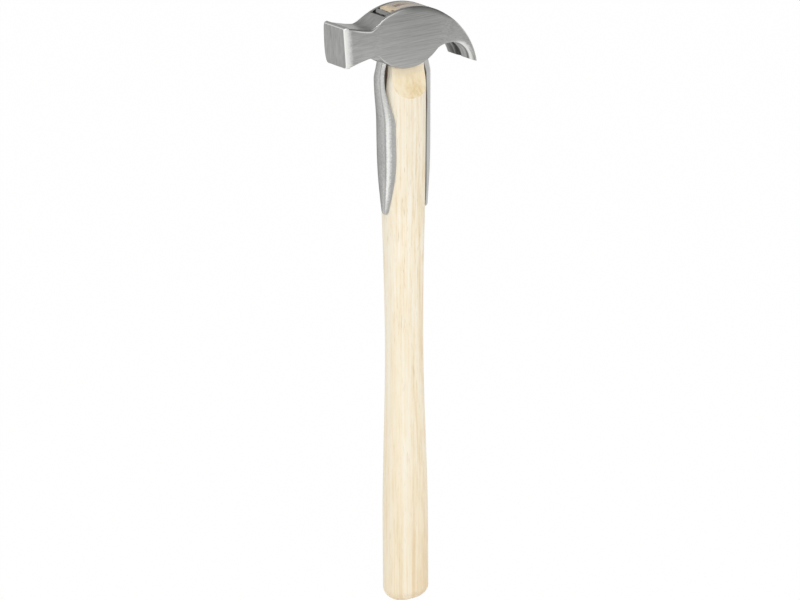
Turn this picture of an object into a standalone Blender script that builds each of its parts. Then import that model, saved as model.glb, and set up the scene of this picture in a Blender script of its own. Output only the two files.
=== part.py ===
"""Farrier's hammer: a forged claw head on an ash handle, held by two steel straps and a wedge.

Metres, Z up. Z runs along the handle from the butt to the crown of the head, X along the head
from the striking face (minus) to the claw (plus), and Y across the head's thickness.
"""

import math

import bmesh
import bpy
from mathutils import Vector

# Whole hammer
HAMMER_LENGTH = 0.3600
SEAT_GAP = 0.0003

# Head, side view: drops are measured down from the crown, reaches sideways from the handle's axis
CROWN_RADIUS = 0.0425
CROWN_FRONT_ANGLE = math.radians(-27)
CLAW_ROOT_ANGLE = math.radians(26)
CLAW_TIP_ANGLE = math.radians(82)
CLAW_TIP_THICKNESS = 0.0020
FACE_REACH = 0.0472
FACE_DROP = 0.0049
FACE_HEIGHT = 0.0240
FACE_TILT = math.radians(3)
FACE_TOP_SLOPE = 0.28
FACE_BOTTOM_SLOPE = 0.18
NECK_REACH = 0.0272
NECK_DROP = 0.0088
NECK_HEIGHT = 0.0167
NECK_TOP_SLOPE = 0.10
NECK_BOTTOM_SLOPE = 0.12
CROWN_FOOT_SLOPE = 0.15
LOBE_RADIUS = 0.0278
LOBE_DROP = 0.0352
LOBE_REACH = 0.0012
LOBE_FILLET = 0.0035
THROAT_DROP = 0.0244
THROAT_END_ANGLE = math.radians(8)

# Head, across its thickness; the flares say how suddenly it widens towards the face and the claw
CHEEK_WIDTH = 0.0177
CHEEK_REACH = 0.0165
NECK_WIDTH = 0.0196
FACE_WIDTH = 0.0218
FACE_FLARE = 1.5
CLAW_WIDTH = 0.0290
CLAW_FLARE = 0.85
FACE_SIDE_ROUND = 0.0021
FACE_TOP_ROUND = 0.0007
FACE_ROUND_DEPTH = 0.0030
FACE_CORNER_ROUND = 0.0028
HEAD_EDGE_ROUND = 0.0007
CLAW_BEVEL_ACROSS = 0.0070
CLAW_BEVEL_UP = 0.0028

# Nail slot between the claws: it opens towards the tips, and is widest on the hollow side
SLOT_ROOT_ANGLE = math.radians(48)
SLOT_TIP_WIDTH = 0.0046
SLOT_ROOT_WIDTH = 0.0016
SLOT_BACK_TIP_WIDTH = 0.0009
SLOT_BACK_ROOT_WIDTH = 0.0006

# Eye through the head, flared towards the crown
EYE_LENGTH = 0.0328
EYE_WIDTH = 0.0120
EYE_CROWN_WIDTH = 0.0131
EYE_CORNER_ROUND = 0.0014

# Handle: full widths along X (depth) and Y (breadth) of its rounded oval; the heights are measured
# up from the butt, and what lies below the head is measured down from its lobe
GRIP_DEPTH = 0.0273
GRIP_BREADTH = 0.0216
GRIP_HEIGHT = 0.0450
WAIST_DEPTH = 0.0227
WAIST_BREADTH = 0.0178
WAIST_HEIGHT = 0.1600
SHOULDER_DEPTH = 0.0268
SHOULDER_BREADTH = 0.0228
SHOULDER_BELOW = 0.0198
TENON_START_BELOW = 0.0298
OVAL_SQUARENESS = 2.4
BUTT_ROUND = 0.0074
SCOOP_RADIUS = 0.0280

# Straps: steel springs whose tangs run up through the eye in front of and behind the handle
TANG_THICKNESS = 0.0034
TANG_GAP = 0.0006
TANG_START_RISE = 0.0082
STRAP_THICKNESS = 0.0018
STRAP_TIP_THICKNESS = 0.0016
STRAP_EDGE_THICKNESS = 0.0004
STRAP_BEVEL_ACROSS = 0.0025
STRAP_BEVEL_DEPTH = 0.0018
STRAP_FLANK_SPREAD = 0.0011
STRAP_TIP_WIDTH = 0.0048
STRAP_WIDTH = 0.0163
STRAP_BOW_WIDTH = 0.0100
STRAP_NECK_WIDTH = 0.0086
STRAP_TIP_BELOW = 0.0853
STRAP_WIDEST_BELOW = 0.0476
STRAP_CLOSE_BELOW = 0.0328
STRAP_BOW_BELOW = 0.0063
STRAP_BOW = 0.0035
STRAP_TIP_ROUNDNESS = 2.2
REAR_TIP_STAND_OFF = 0.0013

# Wedge driven into the saw kerf in the top of the handle
WEDGE_LENGTH = 0.0280
WEDGE_THICKNESS = 0.0034
WEDGE_TOE_THICKNESS = 0.0008
WEDGE_FRONT_REACH = 0.0055
KERF_SPARE_DEPTH = 0.0005

# Most of a wall that a rounding or a bevel may take, and the stretch of the crown over the fillet
ROUND_SHARE_ACROSS = 0.5
ROUND_SHARE_UP = 0.58
EDGE_SHARE = 0.4
STRAP_BEVEL_SHARE = 0.6
STRAP_FLANK_SHARE = 0.2
SLOT_SPARE_SHARE = 0.1
SLOT_RUN_OUT = 1.1
CROWN_SHARE_OVER_FILLET = 0.1

# Fineness of the facets, and how far cutters run past what they cut
CORNER_STEPS = 3
HEAD_STEPS = 9
SLOT_STEPS = 8
CROWN_STEPS = 24
OVAL_STEPS = 44
HANDLE_STEPS = 9
SCOOP_STEPS = 10
STRAP_STEPS = 10
STRAP_INNER_STEPS = 8
SHARP_ANGLE = math.radians(35)
CUT_MARGIN = 0.0100
WELD_DISTANCE = 0.000001

# Heights and reaches that follow from the sizes above
CROWN_CENTRE = Vector((0.0, HAMMER_LENGTH - CROWN_RADIUS))
LOBE_CENTRE = Vector((-LOBE_REACH, HAMMER_LENGTH - LOBE_DROP + LOBE_RADIUS))
LOBE_HEIGHT = HAMMER_LENGTH - LOBE_DROP
SHOULDER_HEIGHT = LOBE_HEIGHT - SHOULDER_BELOW
TENON_START_HEIGHT = LOBE_HEIGHT - TENON_START_BELOW
STRAP_TIP_HEIGHT = LOBE_HEIGHT - STRAP_TIP_BELOW
STRAP_WIDEST_HEIGHT = LOBE_HEIGHT - STRAP_WIDEST_BELOW
STRAP_CLOSE_HEIGHT = LOBE_HEIGHT - STRAP_CLOSE_BELOW
STRAP_BOW_HEIGHT = LOBE_HEIGHT - STRAP_BOW_BELOW
TANG_HEIGHT = LOBE_HEIGHT + TANG_START_RISE
TANG_OUTER = EYE_LENGTH / 2 - TANG_GAP
TANG_INNER = TANG_OUTER - TANG_THICKNESS
TENON_DEPTH = 2 * (TANG_INNER - SEAT_GAP)
TENON_BREADTH = EYE_WIDTH - 2 * SEAT_GAP
TENON_CROWN_BREADTH = EYE_CROWN_WIDTH - 2 * SEAT_GAP
TANG_CROWN_WIDTH = EYE_CROWN_WIDTH - 2 * SEAT_GAP
WEDGE_REAR_REACH = TENON_DEPTH / 2 - SEAT_GAP


def clear_scene():
    for thing in list(bpy.data.objects):
        bpy.data.objects.remove(thing, do_unlink=True)


def new_collection(name):
    collection = bpy.data.collections.new(name)
    bpy.context.scene.collection.children.link(collection)
    return collection


def new_material(name, colour, roughness, metallic):
    material = bpy.data.materials.new(name)
    material.use_nodes = True
    shader = material.node_tree.nodes["Principled BSDF"]
    shader.inputs["Base Color"].default_value = (*colour, 1.0)
    shader.inputs["Roughness"].default_value = roughness
    shader.inputs["Metallic"].default_value = metallic
    return material


def mix(start, end, share):
    return start + (end - start) * share


def ease(share):
    """Rises from 0 to 1 with no slope at either end."""
    share = min(max(share, 0.0), 1.0)
    return share * share * (3 - 2 * share)


def shares(steps):
    return [step / steps for step in range(steps + 1)]


def on_circle(centre, radius, angle):
    """A point of the XZ plane, with the angle measured from straight up towards plus X."""
    return centre + radius * Vector((math.sin(angle), math.cos(angle)))


def sweep(start, start_slope, end, end_slope, share):
    """A curve y(x) from start to end that leaves and arrives at the given slopes."""
    span = end.x - start.x
    cube, square = share**3, share**2
    height = (
        (2 * cube - 3 * square + 1) * start.y
        + (cube - 2 * square + share) * span * start_slope
        + (3 * square - 2 * cube) * end.y
        + (cube - square) * span * end_slope
    )
    return Vector((start.x + span * share, height))


def object_from(name, mesh, collection, material=None):
    thing = bpy.data.objects.new(name, mesh)
    collection.objects.link(thing)
    if material:
        mesh.materials.append(material)
        mesh.shade_smooth()
        mesh.set_sharp_from_angle(angle=SHARP_ANGLE)
    return thing


def mesh_from(shape, name):
    bmesh.ops.recalc_face_normals(shape, faces=shape.faces)
    mesh = bpy.data.meshes.new(name)
    shape.to_mesh(mesh)
    shape.free()
    return mesh


def loft_mesh(name, rings):
    """A closed skin through rings of equal length, capped at both ends."""
    shape = bmesh.new()
    rows = [[shape.verts.new(point) for point in ring] for ring in rings]
    count = len(rings[0])
    for row, after in zip(rows, rows[1:]):
        for i in range(count):
            j = (i + 1) % count
            shape.faces.new((row[i], row[j], after[j], after[i]))
    shape.faces.new(rows[0])
    shape.faces.new(rows[-1])
    return mesh_from(shape, name)


def tapered_box(name, low, high, collection, corner_round=0.0):
    """A box between two levels; low and high give half X, half Y and Z of each end."""
    shape = bmesh.new()
    bmesh.ops.create_cube(shape, size=2.0)
    for vertex in shape.verts:
        half_x, half_y, height = high if vertex.co.z > 0 else low
        vertex.co = Vector((vertex.co.x * half_x, vertex.co.y * half_y, height))
    if corner_round:
        upright = [edge for edge in shape.edges if len({v.co.z for v in edge.verts}) == 2]
        bmesh.ops.bevel(
            shape, geom=upright, offset=corner_round, segments=CORNER_STEPS, profile=0.5, affect="EDGES"
        )
    return object_from(name, mesh_from(shape, name), collection)


def prism(name, outline, half_depth, turn, cutters):
    """A flat outline extruded to both sides, then turned about Z after being stood upright."""
    curve = bpy.data.curves.new(name, "CURVE")
    curve.dimensions = "2D"
    curve.fill_mode = "BOTH"
    curve.extrude = half_depth
    spline = curve.splines.new("POLY")
    spline.points.add(len(outline) - 1)
    for point, place in zip(spline.points, outline):
        point.co = (place[0], place[1], 0.0, 1.0)
    spline.use_cyclic_u = True
    drawn = bpy.data.objects.new(name, curve)
    cutters.objects.link(drawn)
    drawn.rotation_euler = (math.radians(90), 0.0, turn)
    bpy.context.view_layer.update()
    mesh = bpy.data.meshes.new_from_object(drawn.evaluated_get(bpy.context.evaluated_depsgraph_get()))
    place = drawn.matrix_world.copy()
    bpy.data.objects.remove(drawn, do_unlink=True)
    shape = bmesh.new()
    shape.from_mesh(mesh)
    bmesh.ops.remove_doubles(shape, verts=shape.verts, dist=WELD_DISTANCE)
    bpy.data.meshes.remove(mesh)
    solid = object_from(name, mesh_from(shape, name), cutters)
    solid.matrix_world = place
    return solid


def cut(thing, cutter):
    cutter.hide_render = True
    cutter.display_type = "WIRE"
    modifier = thing.modifiers.new("cut by " + cutter.name, "BOOLEAN")
    modifier.operation = "DIFFERENCE"
    modifier.solver = "EXACT"
    modifier.object = cutter


def crown_trim(cutters):
    """Everything above the crown's arc: what stands in the eye is ground off flush with it."""
    top = HAMMER_LENGTH + CUT_MARGIN
    half = math.asin((EYE_LENGTH / 2 + CUT_MARGIN / 2) / CROWN_RADIUS)
    arc = [on_circle(CROWN_CENTRE, CROWN_RADIUS, mix(-half, half, share)) for share in shares(CROWN_STEPS)]
    outline = [(arc[0].x, top), *[tuple(point) for point in arc], (arc[-1].x, top)]
    return prism("crown_trim", outline, EYE_CROWN_WIDTH, 0.0, cutters)


class Station:
    """One cross-section of the head: a rectangle with rounded corners, standing on the XZ plane."""

    def __init__(self, top, bottom, half_width, edge_round, round_across, round_up):
        self.top = top
        self.bottom = bottom
        self.half_width = half_width
        self.edge_round = edge_round
        self.round_across = round_across
        self.round_up = round_up

    def inset(self, across, along):
        up = (self.top - self.bottom).normalized()
        top = self.top - along * up
        bottom = self.bottom + along * up
        return self.moved(top, bottom, self.half_width - across)

    def moved(self, top, bottom, half_width):
        return Station(top, bottom, half_width, self.edge_round, self.round_across, self.round_up)

    def ring(self):
        side = (self.top - self.bottom).length
        edge = min(self.edge_round, EDGE_SHARE * side)
        across = min(self.round_across, ROUND_SHARE_ACROSS * self.half_width)
        up = min(self.round_up, ROUND_SHARE_UP * side)
        reaches = [(across, up), (edge, edge), (edge, edge), (up, across)]
        corners = [
            Vector((self.bottom.x, self.half_width, self.bottom.y)),
            Vector((self.top.x, self.half_width, self.top.y)),
            Vector((self.top.x, -self.half_width, self.top.y)),
            Vector((self.bottom.x, -self.half_width, self.bottom.y)),
        ]
        points = []
        for i, corner in enumerate(corners):
            start = corner + reaches[i][0] * (corners[i - 1] - corner).normalized()
            end = corner + reaches[i][1] * (corners[(i + 1) % 4] - corner).normalized()
            for share in shares(CORNER_STEPS):
                points.append(start.lerp(corner, share).lerp(corner.lerp(end, share), share))
        return points


def claw_tip():
    return on_circle(CROWN_CENTRE, CROWN_RADIUS, CLAW_TIP_ANGLE)


def throat_radius():
    """The hollow under the claw touches the lobe's arc, and ends a claw's thickness inside the tip."""
    reach = claw_tip().x - CLAW_TIP_THICKNESS - LOBE_CENTRE.x
    lift = LOBE_CENTRE.y - HAMMER_LENGTH + THROAT_DROP
    turn = math.cos(THROAT_END_ANGLE)
    half_sum = turn * reach + LOBE_RADIUS - lift
    spare = reach**2 - LOBE_RADIUS**2 + lift**2
    return (half_sum - math.sqrt(half_sum**2 - turn**2 * spare)) / turn**2


def throat_centre(radius):
    height = HAMMER_LENGTH - THROAT_DROP - radius
    return Vector((claw_tip().x - CLAW_TIP_THICKNESS - radius * math.cos(THROAT_END_ANGLE), height))


def lobe_fillet_centre():
    """The small fillet where the poll's level underside runs into the lobe."""
    height = HAMMER_LENGTH - NECK_DROP - NECK_HEIGHT - LOBE_FILLET
    fall = LOBE_CENTRE.y - height
    return Vector((LOBE_CENTRE.x - math.sqrt((LOBE_RADIUS + LOBE_FILLET) ** 2 - fall**2), height))


def claw_pair(share):
    """Points of the claw's back and of its hollow, from the root at 0 to the tip at 1."""
    hollow = throat_radius()
    throat = throat_centre(hollow)
    start = math.atan2(LOBE_CENTRE.x - throat.x, LOBE_CENTRE.y - throat.y)
    end = math.radians(90) - THROAT_END_ANGLE
    top = on_circle(CROWN_CENTRE, CROWN_RADIUS, mix(CLAW_ROOT_ANGLE, CLAW_TIP_ANGLE, share))
    return top, on_circle(throat, hollow, mix(start, end, share))


def head_outline():
    """Pairs of top and bottom points along the head, from the striking face to the claw's tip."""
    face_top = Vector((-FACE_REACH, HAMMER_LENGTH - FACE_DROP))
    face_bottom = face_top + FACE_HEIGHT * Vector((math.sin(FACE_TILT), -math.cos(FACE_TILT)))
    neck_top = Vector((-NECK_REACH, HAMMER_LENGTH - NECK_DROP))
    neck_bottom = neck_top - Vector((0.0, NECK_HEIGHT))
    crown_front = on_circle(CROWN_CENTRE, CROWN_RADIUS, CROWN_FRONT_ANGLE)
    fillet = lobe_fillet_centre()
    throat = throat_centre(throat_radius())
    fillet_turn = math.atan2(LOBE_CENTRE.x - fillet.x, LOBE_CENTRE.y - fillet.y)
    throat_turn = math.atan2(LOBE_CENTRE.x - throat.x, LOBE_CENTRE.y - throat.y)
    lobe_start = fillet_turn + math.pi
    lobe_end = throat_turn + math.pi
    fillet_foot = Vector((fillet.x, neck_bottom.y))
    cheek_angle = CROWN_FRONT_ANGLE * (1 - CROWN_SHARE_OVER_FILLET)
    pairs = []
    for share in shares(HEAD_STEPS)[:-1]:
        top = sweep(face_top, -FACE_TOP_SLOPE, neck_top, -NECK_TOP_SLOPE, share)
        bottom = sweep(face_bottom, FACE_BOTTOM_SLOPE, neck_bottom, NECK_BOTTOM_SLOPE, share)
        pairs.append((top, bottom))
    for share in shares(HEAD_STEPS)[:-1]:
        top = sweep(neck_top, CROWN_FOOT_SLOPE, crown_front, -math.tan(CROWN_FRONT_ANGLE), share)
        pairs.append((top, neck_bottom.lerp(fillet_foot, share)))
    for share in shares(CORNER_STEPS)[:-1]:
        bottom = on_circle(fillet, LOBE_FILLET, mix(0.0, fillet_turn, share))
        top = on_circle(CROWN_CENTRE, CROWN_RADIUS, mix(CROWN_FRONT_ANGLE, cheek_angle, share))
        pairs.append((top, bottom))
    for share in shares(2 * HEAD_STEPS)[:-1]:
        top = on_circle(CROWN_CENTRE, CROWN_RADIUS, mix(cheek_angle, CLAW_ROOT_ANGLE, share))
        bottom = on_circle(LOBE_CENTRE, LOBE_RADIUS, mix(lobe_start, lobe_end, share))
        pairs.append((top, bottom))
    pairs.extend(claw_pair(share) for share in shares(2 * HEAD_STEPS))
    return pairs


def head_station(top, bottom):
    """Width of the head at a pair of points: it flares to the face and out along the claws."""
    poll = max(0.0, (-top.x - NECK_REACH) / (FACE_REACH - NECK_REACH))
    angle = math.atan2(top.x - CROWN_CENTRE.x, top.y - CROWN_CENTRE.y)
    claw = max(0.0, (angle - CLAW_ROOT_ANGLE) / (CLAW_TIP_ANGLE - CLAW_ROOT_ANGLE))
    neck = ease((-top.x - CHEEK_REACH) / (NECK_REACH - CHEEK_REACH))
    flare = poll**FACE_FLARE
    half = mix(mix(CHEEK_WIDTH, NECK_WIDTH, neck), FACE_WIDTH, flare) / 2
    half += (CLAW_WIDTH - CHEEK_WIDTH) / 2 * claw**CLAW_FLARE
    corner = mix(HEAD_EDGE_ROUND, FACE_CORNER_ROUND, flare)
    round_across = mix(corner, CLAW_BEVEL_ACROSS, claw)
    round_up = mix(corner, CLAW_BEVEL_UP, claw)
    return Station(top, bottom, half, corner, round_across, round_up)


def head_rings():
    stations = [head_station(top, bottom) for top, bottom in head_outline()]
    face = stations[0]
    inward = Vector((math.cos(FACE_TILT), math.sin(FACE_TILT)))
    rings = []
    for share in shares(CORNER_STEPS + 1)[:-1]:
        angle = share * math.pi / 2
        depth = FACE_ROUND_DEPTH * (1 - math.cos(angle)) * inward
        left = 1 - math.sin(angle)
        edge = face.moved(face.top + depth, face.bottom + depth, face.half_width)
        rings.append(edge.inset(FACE_SIDE_ROUND * left, FACE_TOP_ROUND * left).ring())
    behind = face.top.x + FACE_ROUND_DEPTH * inward.x
    rings.extend(station.ring() for station in stations if station.top.x > behind)
    return rings


def build_head(parts, cutters, material):
    head = object_from("head", loft_mesh("head", head_rings()), parts, material)
    cut(head, eye_cutter(cutters))
    cut(head, nail_slot(cutters))


def eye_cutter(cutters):
    """The eye is widest at the crown, so that the wedged tenon and the tangs can't pull out."""
    top = HAMMER_LENGTH + CUT_MARGIN
    top_width = mix(EYE_WIDTH, EYE_CROWN_WIDTH, (top - LOBE_HEIGHT) / LOBE_DROP)
    return tapered_box(
        "eye_cutter",
        (EYE_LENGTH / 2, EYE_WIDTH / 2, LOBE_HEIGHT),
        (EYE_LENGTH / 2, top_width / 2, top),
        cutters,
        EYE_CORNER_ROUND,
    )


def nail_slot(cutters):
    """The slot follows the claw round from its root and runs out past the tips."""
    root = (SLOT_ROOT_ANGLE - CLAW_ROOT_ANGLE) / (CLAW_TIP_ANGLE - CLAW_ROOT_ANGLE)
    rings = []
    for share in shares(SLOT_STEPS):
        along = mix(root, SLOT_RUN_OUT, share)
        run = (along - root) / (1 - root)
        back = mix(SLOT_BACK_ROOT_WIDTH, SLOT_BACK_TIP_WIDTH, run) / 2
        hollow = mix(SLOT_ROOT_WIDTH, SLOT_TIP_WIDTH, run) / 2
        rings.append(slot_ring(*claw_pair(along), back, hollow))
    mesh = loft_mesh("nail_slot_cutter", rings)
    return object_from("nail_slot_cutter", mesh, cutters)


def slot_ring(top, bottom, back, hollow):
    """A section of the slot, run a little past both skins of the claw."""
    spare = SLOT_SPARE_SHARE * (top - bottom)
    wider = SLOT_SPARE_SHARE * (hollow - back)
    above, below = top + spare, bottom - spare
    return [
        Vector((below.x, hollow + wider, below.y)),
        Vector((above.x, back - wider, above.y)),
        Vector((above.x, wider - back, above.y)),
        Vector((below.x, -hollow - wider, below.y)),
    ]


def oval_half(height):
    """Half depth and half breadth of the handle's oval at a height, before the tenon is cut."""
    grip = ease((height - GRIP_HEIGHT) / (WAIST_HEIGHT - GRIP_HEIGHT))
    swell = ease((height - WAIST_HEIGHT) / (SHOULDER_HEIGHT - WAIST_HEIGHT))
    tenon = ease((height - TENON_START_HEIGHT) / (LOBE_HEIGHT - TENON_START_HEIGHT))
    depth = mix(mix(mix(GRIP_DEPTH, WAIST_DEPTH, grip), SHOULDER_DEPTH, swell), TENON_DEPTH, tenon)
    breadth = mix(mix(GRIP_BREADTH, WAIST_BREADTH, grip), SHOULDER_BREADTH, swell)
    return depth / 2, breadth / 2


def oval_ring(half_depth, half_breadth, height):
    """A rounded oval, squarer than an ellipse."""
    power = 2 / OVAL_SQUARENESS
    points = []
    for step in range(OVAL_STEPS):
        angle = 2 * math.pi * step / OVAL_STEPS
        across, along = math.sin(angle), math.cos(angle)
        x = half_depth * math.copysign(abs(along) ** power, along)
        y = half_breadth * math.copysign(abs(across) ** power, across)
        points.append(Vector((x, y, height)))
    return points


def handle_rings():
    rings = []
    for share in shares(2 * CORNER_STEPS)[:-1]:
        angle = share * math.pi / 2
        inset = BUTT_ROUND * (1 - math.sin(angle))
        half_depth, half_breadth = oval_half(0.0)
        height = BUTT_ROUND * (1 - math.cos(angle))
        rings.append(oval_ring(half_depth - inset, half_breadth - inset, height))
    stages = [BUTT_ROUND, GRIP_HEIGHT, WAIST_HEIGHT, TENON_START_HEIGHT, LOBE_HEIGHT]
    for low, high in zip(stages, stages[1:]):
        for share in shares(HANDLE_STEPS)[:-1]:
            height = mix(low, high, share)
            rings.append(oval_ring(*oval_half(height), height))
    for height in (LOBE_HEIGHT, HAMMER_LENGTH + CUT_MARGIN / 2):
        rings.append(oval_ring(*oval_half(height), height))
    return rings


def tenon_cutter(name, side, cutters):
    """Wood outside one flat of the tenon; at its foot the flat runs out of the handle in a round scoop."""
    top = HAMMER_LENGTH + CUT_MARGIN
    flat = TENON_BREADTH / 2
    flat_top = mix(flat, TENON_CROWN_BREADTH / 2, (top - LOBE_HEIGHT) / LOBE_DROP)
    outside = SHOULDER_BREADTH / 2 + CUT_MARGIN / 2
    centre = Vector((flat + SCOOP_RADIUS, LOBE_HEIGHT - SEAT_GAP))
    last = math.acos((centre.x - outside) / SCOOP_RADIUS)
    outline = [(side * outside, top), (side * flat_top, top)]
    for share in shares(SCOOP_STEPS):
        angle = share * last
        y = centre.x - SCOOP_RADIUS * math.cos(angle)
        outline.append((side * y, centre.y - SCOOP_RADIUS * math.sin(angle)))
    return prism(name, outline, SHOULDER_DEPTH, math.radians(90), cutters)


def kerf_cutter(cutters):
    """A saw kerf down the middle of the tenon, in from its rear face and opened by the wedge."""
    front = WEDGE_FRONT_REACH + SEAT_GAP
    rear = WEDGE_REAR_REACH + CUT_MARGIN
    foot = HAMMER_LENGTH - WEDGE_LENGTH - KERF_SPARE_DEPTH
    kerf = tapered_box(
        "kerf_cutter",
        ((rear + front) / 2, WEDGE_TOE_THICKNESS / 2 + SEAT_GAP, foot),
        ((rear + front) / 2, WEDGE_THICKNESS / 2 + SEAT_GAP, HAMMER_LENGTH),
        cutters,
    )
    kerf.location.x = (rear - front) / 2
    return kerf


def build_handle(parts, cutters, material, trim):
    handle = object_from("handle", loft_mesh("handle", handle_rings()), parts, material)
    cut(handle, tenon_cutter("near_flat_cutter", -1, cutters))
    cut(handle, tenon_cutter("far_flat_cutter", 1, cutters))
    cut(handle, kerf_cutter(cutters))
    cut(handle, trim)


def strap_blade(height):
    """Rises from 0 at the strap's tip to 1 where it is widest."""
    tip = (height - STRAP_TIP_HEIGHT) / (STRAP_WIDEST_HEIGHT - STRAP_TIP_HEIGHT)
    return 1 - max(0.0, 1 - tip) ** STRAP_TIP_ROUNDNESS


def strap_lift(height):
    """Rises from 0 where the strap leaves the wood to 1 at the top of its bow."""
    return ease((height - STRAP_CLOSE_HEIGHT) / (STRAP_BOW_HEIGHT - STRAP_CLOSE_HEIGHT))


def strap_width(height):
    neck = ease((height - STRAP_BOW_HEIGHT) / (LOBE_HEIGHT - STRAP_BOW_HEIGHT))
    tang = min(max(0.0, (height - TANG_HEIGHT) / (HAMMER_LENGTH - TANG_HEIGHT)), 1.0)
    width = mix(mix(STRAP_TIP_WIDTH, STRAP_WIDTH, strap_blade(height)), STRAP_BOW_WIDTH, strap_lift(height))
    return mix(mix(width, STRAP_NECK_WIDTH, neck), TANG_CROWN_WIDTH, tang)


def strap_thickness(height):
    tang = ease((height - LOBE_HEIGHT) / TANG_START_RISE)
    blade = mix(STRAP_TIP_THICKNESS, STRAP_THICKNESS, strap_blade(height))
    return mix(blade, TANG_THICKNESS, tang)


def strap_inner(height, y, stand_off):
    """How far from the axis the strap's inner face lies: on the wood below, straight up the eye above."""
    bow = oval_half(STRAP_BOW_HEIGHT)[0] + SEAT_GAP + STRAP_BOW
    if height > STRAP_BOW_HEIGHT:
        enter = ease((height - STRAP_BOW_HEIGHT) / (TANG_HEIGHT - STRAP_BOW_HEIGHT))
        return mix(bow + STRAP_THICKNESS, TANG_OUTER, enter) - strap_thickness(height)
    half_depth, half_breadth = oval_half(height)
    curved = (1 - abs(y / half_breadth) ** OVAL_SQUARENESS) ** (1 / OVAL_SQUARENESS)
    on_wood = half_depth * curved + SEAT_GAP + stand_off * (1 - strap_blade(height))
    return mix(on_wood, bow, strap_lift(height))


def strap_ring(side, height, stand_off):
    """The strap's section: an inner face on the wood, two flanks, two bevels and a flat outer face."""
    foot = strap_width(height) / 2
    half = foot - min(STRAP_FLANK_SPREAD * (1 - strap_lift(height)), STRAP_FLANK_SHARE * foot)
    flat = half - min(STRAP_BEVEL_ACROSS, STRAP_BEVEL_SHARE * half)
    outer = strap_inner(height, 0.0, stand_off) + strap_thickness(height)
    thinnest = strap_inner(height, foot, stand_off) + STRAP_EDGE_THICKNESS
    edge = max(outer - STRAP_BEVEL_DEPTH, thinnest)
    points = []
    for share in shares(STRAP_INNER_STEPS):
        y = mix(-foot, foot, share)
        points.append(Vector((side * strap_inner(height, y, stand_off), y, height)))
    for x, y in ((edge, half), (outer, flat), (outer, -flat), (edge, -half)):
        points.append(Vector((side * x, y, height)))
    return points


def strap_rings(side, stand_off):
    stages = [STRAP_TIP_HEIGHT, STRAP_WIDEST_HEIGHT, STRAP_BOW_HEIGHT, TANG_HEIGHT]
    rings = []
    for low, high in zip(stages, stages[1:]):
        for share in shares(STRAP_STEPS)[:-1]:
            rings.append(strap_ring(side, mix(low, high, share), stand_off))
    for height in (TANG_HEIGHT, HAMMER_LENGTH, HAMMER_LENGTH + CUT_MARGIN / 2):
        rings.append(strap_ring(side, height, stand_off))
    return rings


def build_strap(name, side, stand_off, parts, material, trim):
    strap = object_from(name, loft_mesh(name, strap_rings(side, stand_off)), parts, material)
    cut(strap, trim)


def build_wedge(parts, material, trim):
    half_depth = (WEDGE_REAR_REACH + WEDGE_FRONT_REACH) / 2
    rise = 1 + CUT_MARGIN / 2 / WEDGE_LENGTH
    wedge = tapered_box(
        "wedge",
        (half_depth, WEDGE_TOE_THICKNESS / 2, HAMMER_LENGTH - WEDGE_LENGTH),
        (
            half_depth,
            mix(WEDGE_TOE_THICKNESS, WEDGE_THICKNESS, rise) / 2,
            HAMMER_LENGTH + CUT_MARGIN / 2,
        ),
        parts,
    )
    wedge.location.x = (WEDGE_REAR_REACH - WEDGE_FRONT_REACH) / 2
    wedge.data.materials.append(material)
    cut(wedge, trim)


def gather_under_empty(name, parts):
    """One empty at the butt carries the whole hammer."""
    pieces = list(parts.objects)
    origin = bpy.data.objects.new(name, None)
    parts.objects.link(origin)
    for piece in pieces:
        piece.parent = origin


def build_hammer():
    clear_scene()
    parts = new_collection("farrier_hammer")
    cutters = new_collection("cutters")
    forged_steel = new_material("forged_steel", (0.36, 0.36, 0.36), 0.35, 1.0)
    spring_steel = new_material("spring_steel", (0.42, 0.42, 0.42), 0.5, 1.0)
    ash_wood = new_material("ash_wood", (0.79, 0.68, 0.50), 0.5, 0.0)
    beech_wood = new_material("beech_wood", (0.42, 0.27, 0.18), 0.6, 0.0)
    trim = crown_trim(cutters)
    build_head(parts, cutters, forged_steel)
    build_handle(parts, cutters, ash_wood, trim)
    build_strap("front_strap", -1, 0.0, parts, spring_steel, trim)
    build_strap("rear_strap", 1, REAR_TIP_STAND_OFF, parts, spring_steel, trim)
    build_wedge(parts, beech_wood, trim)
    gather_under_empty("hammer_origin", parts)


build_hammer()
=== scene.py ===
"""Looks of the farrier's hammer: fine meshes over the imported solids, their materials and a white studio.

Metres, Z up. Z runs along the handle from the butt to the crown, X along the head from the striking face
(minus) to the claw (plus), and Y across the head's thickness.
"""

from collections import namedtuple
from math import acos, asin, atan2, copysign, cos, pi, radians, sin, sqrt, tan

import bmesh
import bpy
from mathutils import Matrix, Vector


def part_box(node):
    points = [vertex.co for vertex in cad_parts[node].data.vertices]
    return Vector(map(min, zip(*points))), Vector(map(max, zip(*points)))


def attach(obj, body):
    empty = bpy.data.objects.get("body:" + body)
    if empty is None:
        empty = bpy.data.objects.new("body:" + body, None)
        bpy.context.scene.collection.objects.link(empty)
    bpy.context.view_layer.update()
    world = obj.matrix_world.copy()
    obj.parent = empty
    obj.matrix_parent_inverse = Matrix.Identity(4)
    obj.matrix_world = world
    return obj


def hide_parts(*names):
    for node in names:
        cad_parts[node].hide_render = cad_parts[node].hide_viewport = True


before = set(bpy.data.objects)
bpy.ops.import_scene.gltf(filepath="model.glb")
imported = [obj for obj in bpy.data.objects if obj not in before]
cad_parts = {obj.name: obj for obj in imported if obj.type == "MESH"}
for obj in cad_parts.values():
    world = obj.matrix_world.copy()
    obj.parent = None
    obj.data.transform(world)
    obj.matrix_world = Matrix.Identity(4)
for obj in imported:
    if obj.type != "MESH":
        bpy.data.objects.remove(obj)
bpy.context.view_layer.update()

# Whole hammer
HAMMER_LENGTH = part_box("head")[1].z
SEAT_GAP = 0.0003

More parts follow.
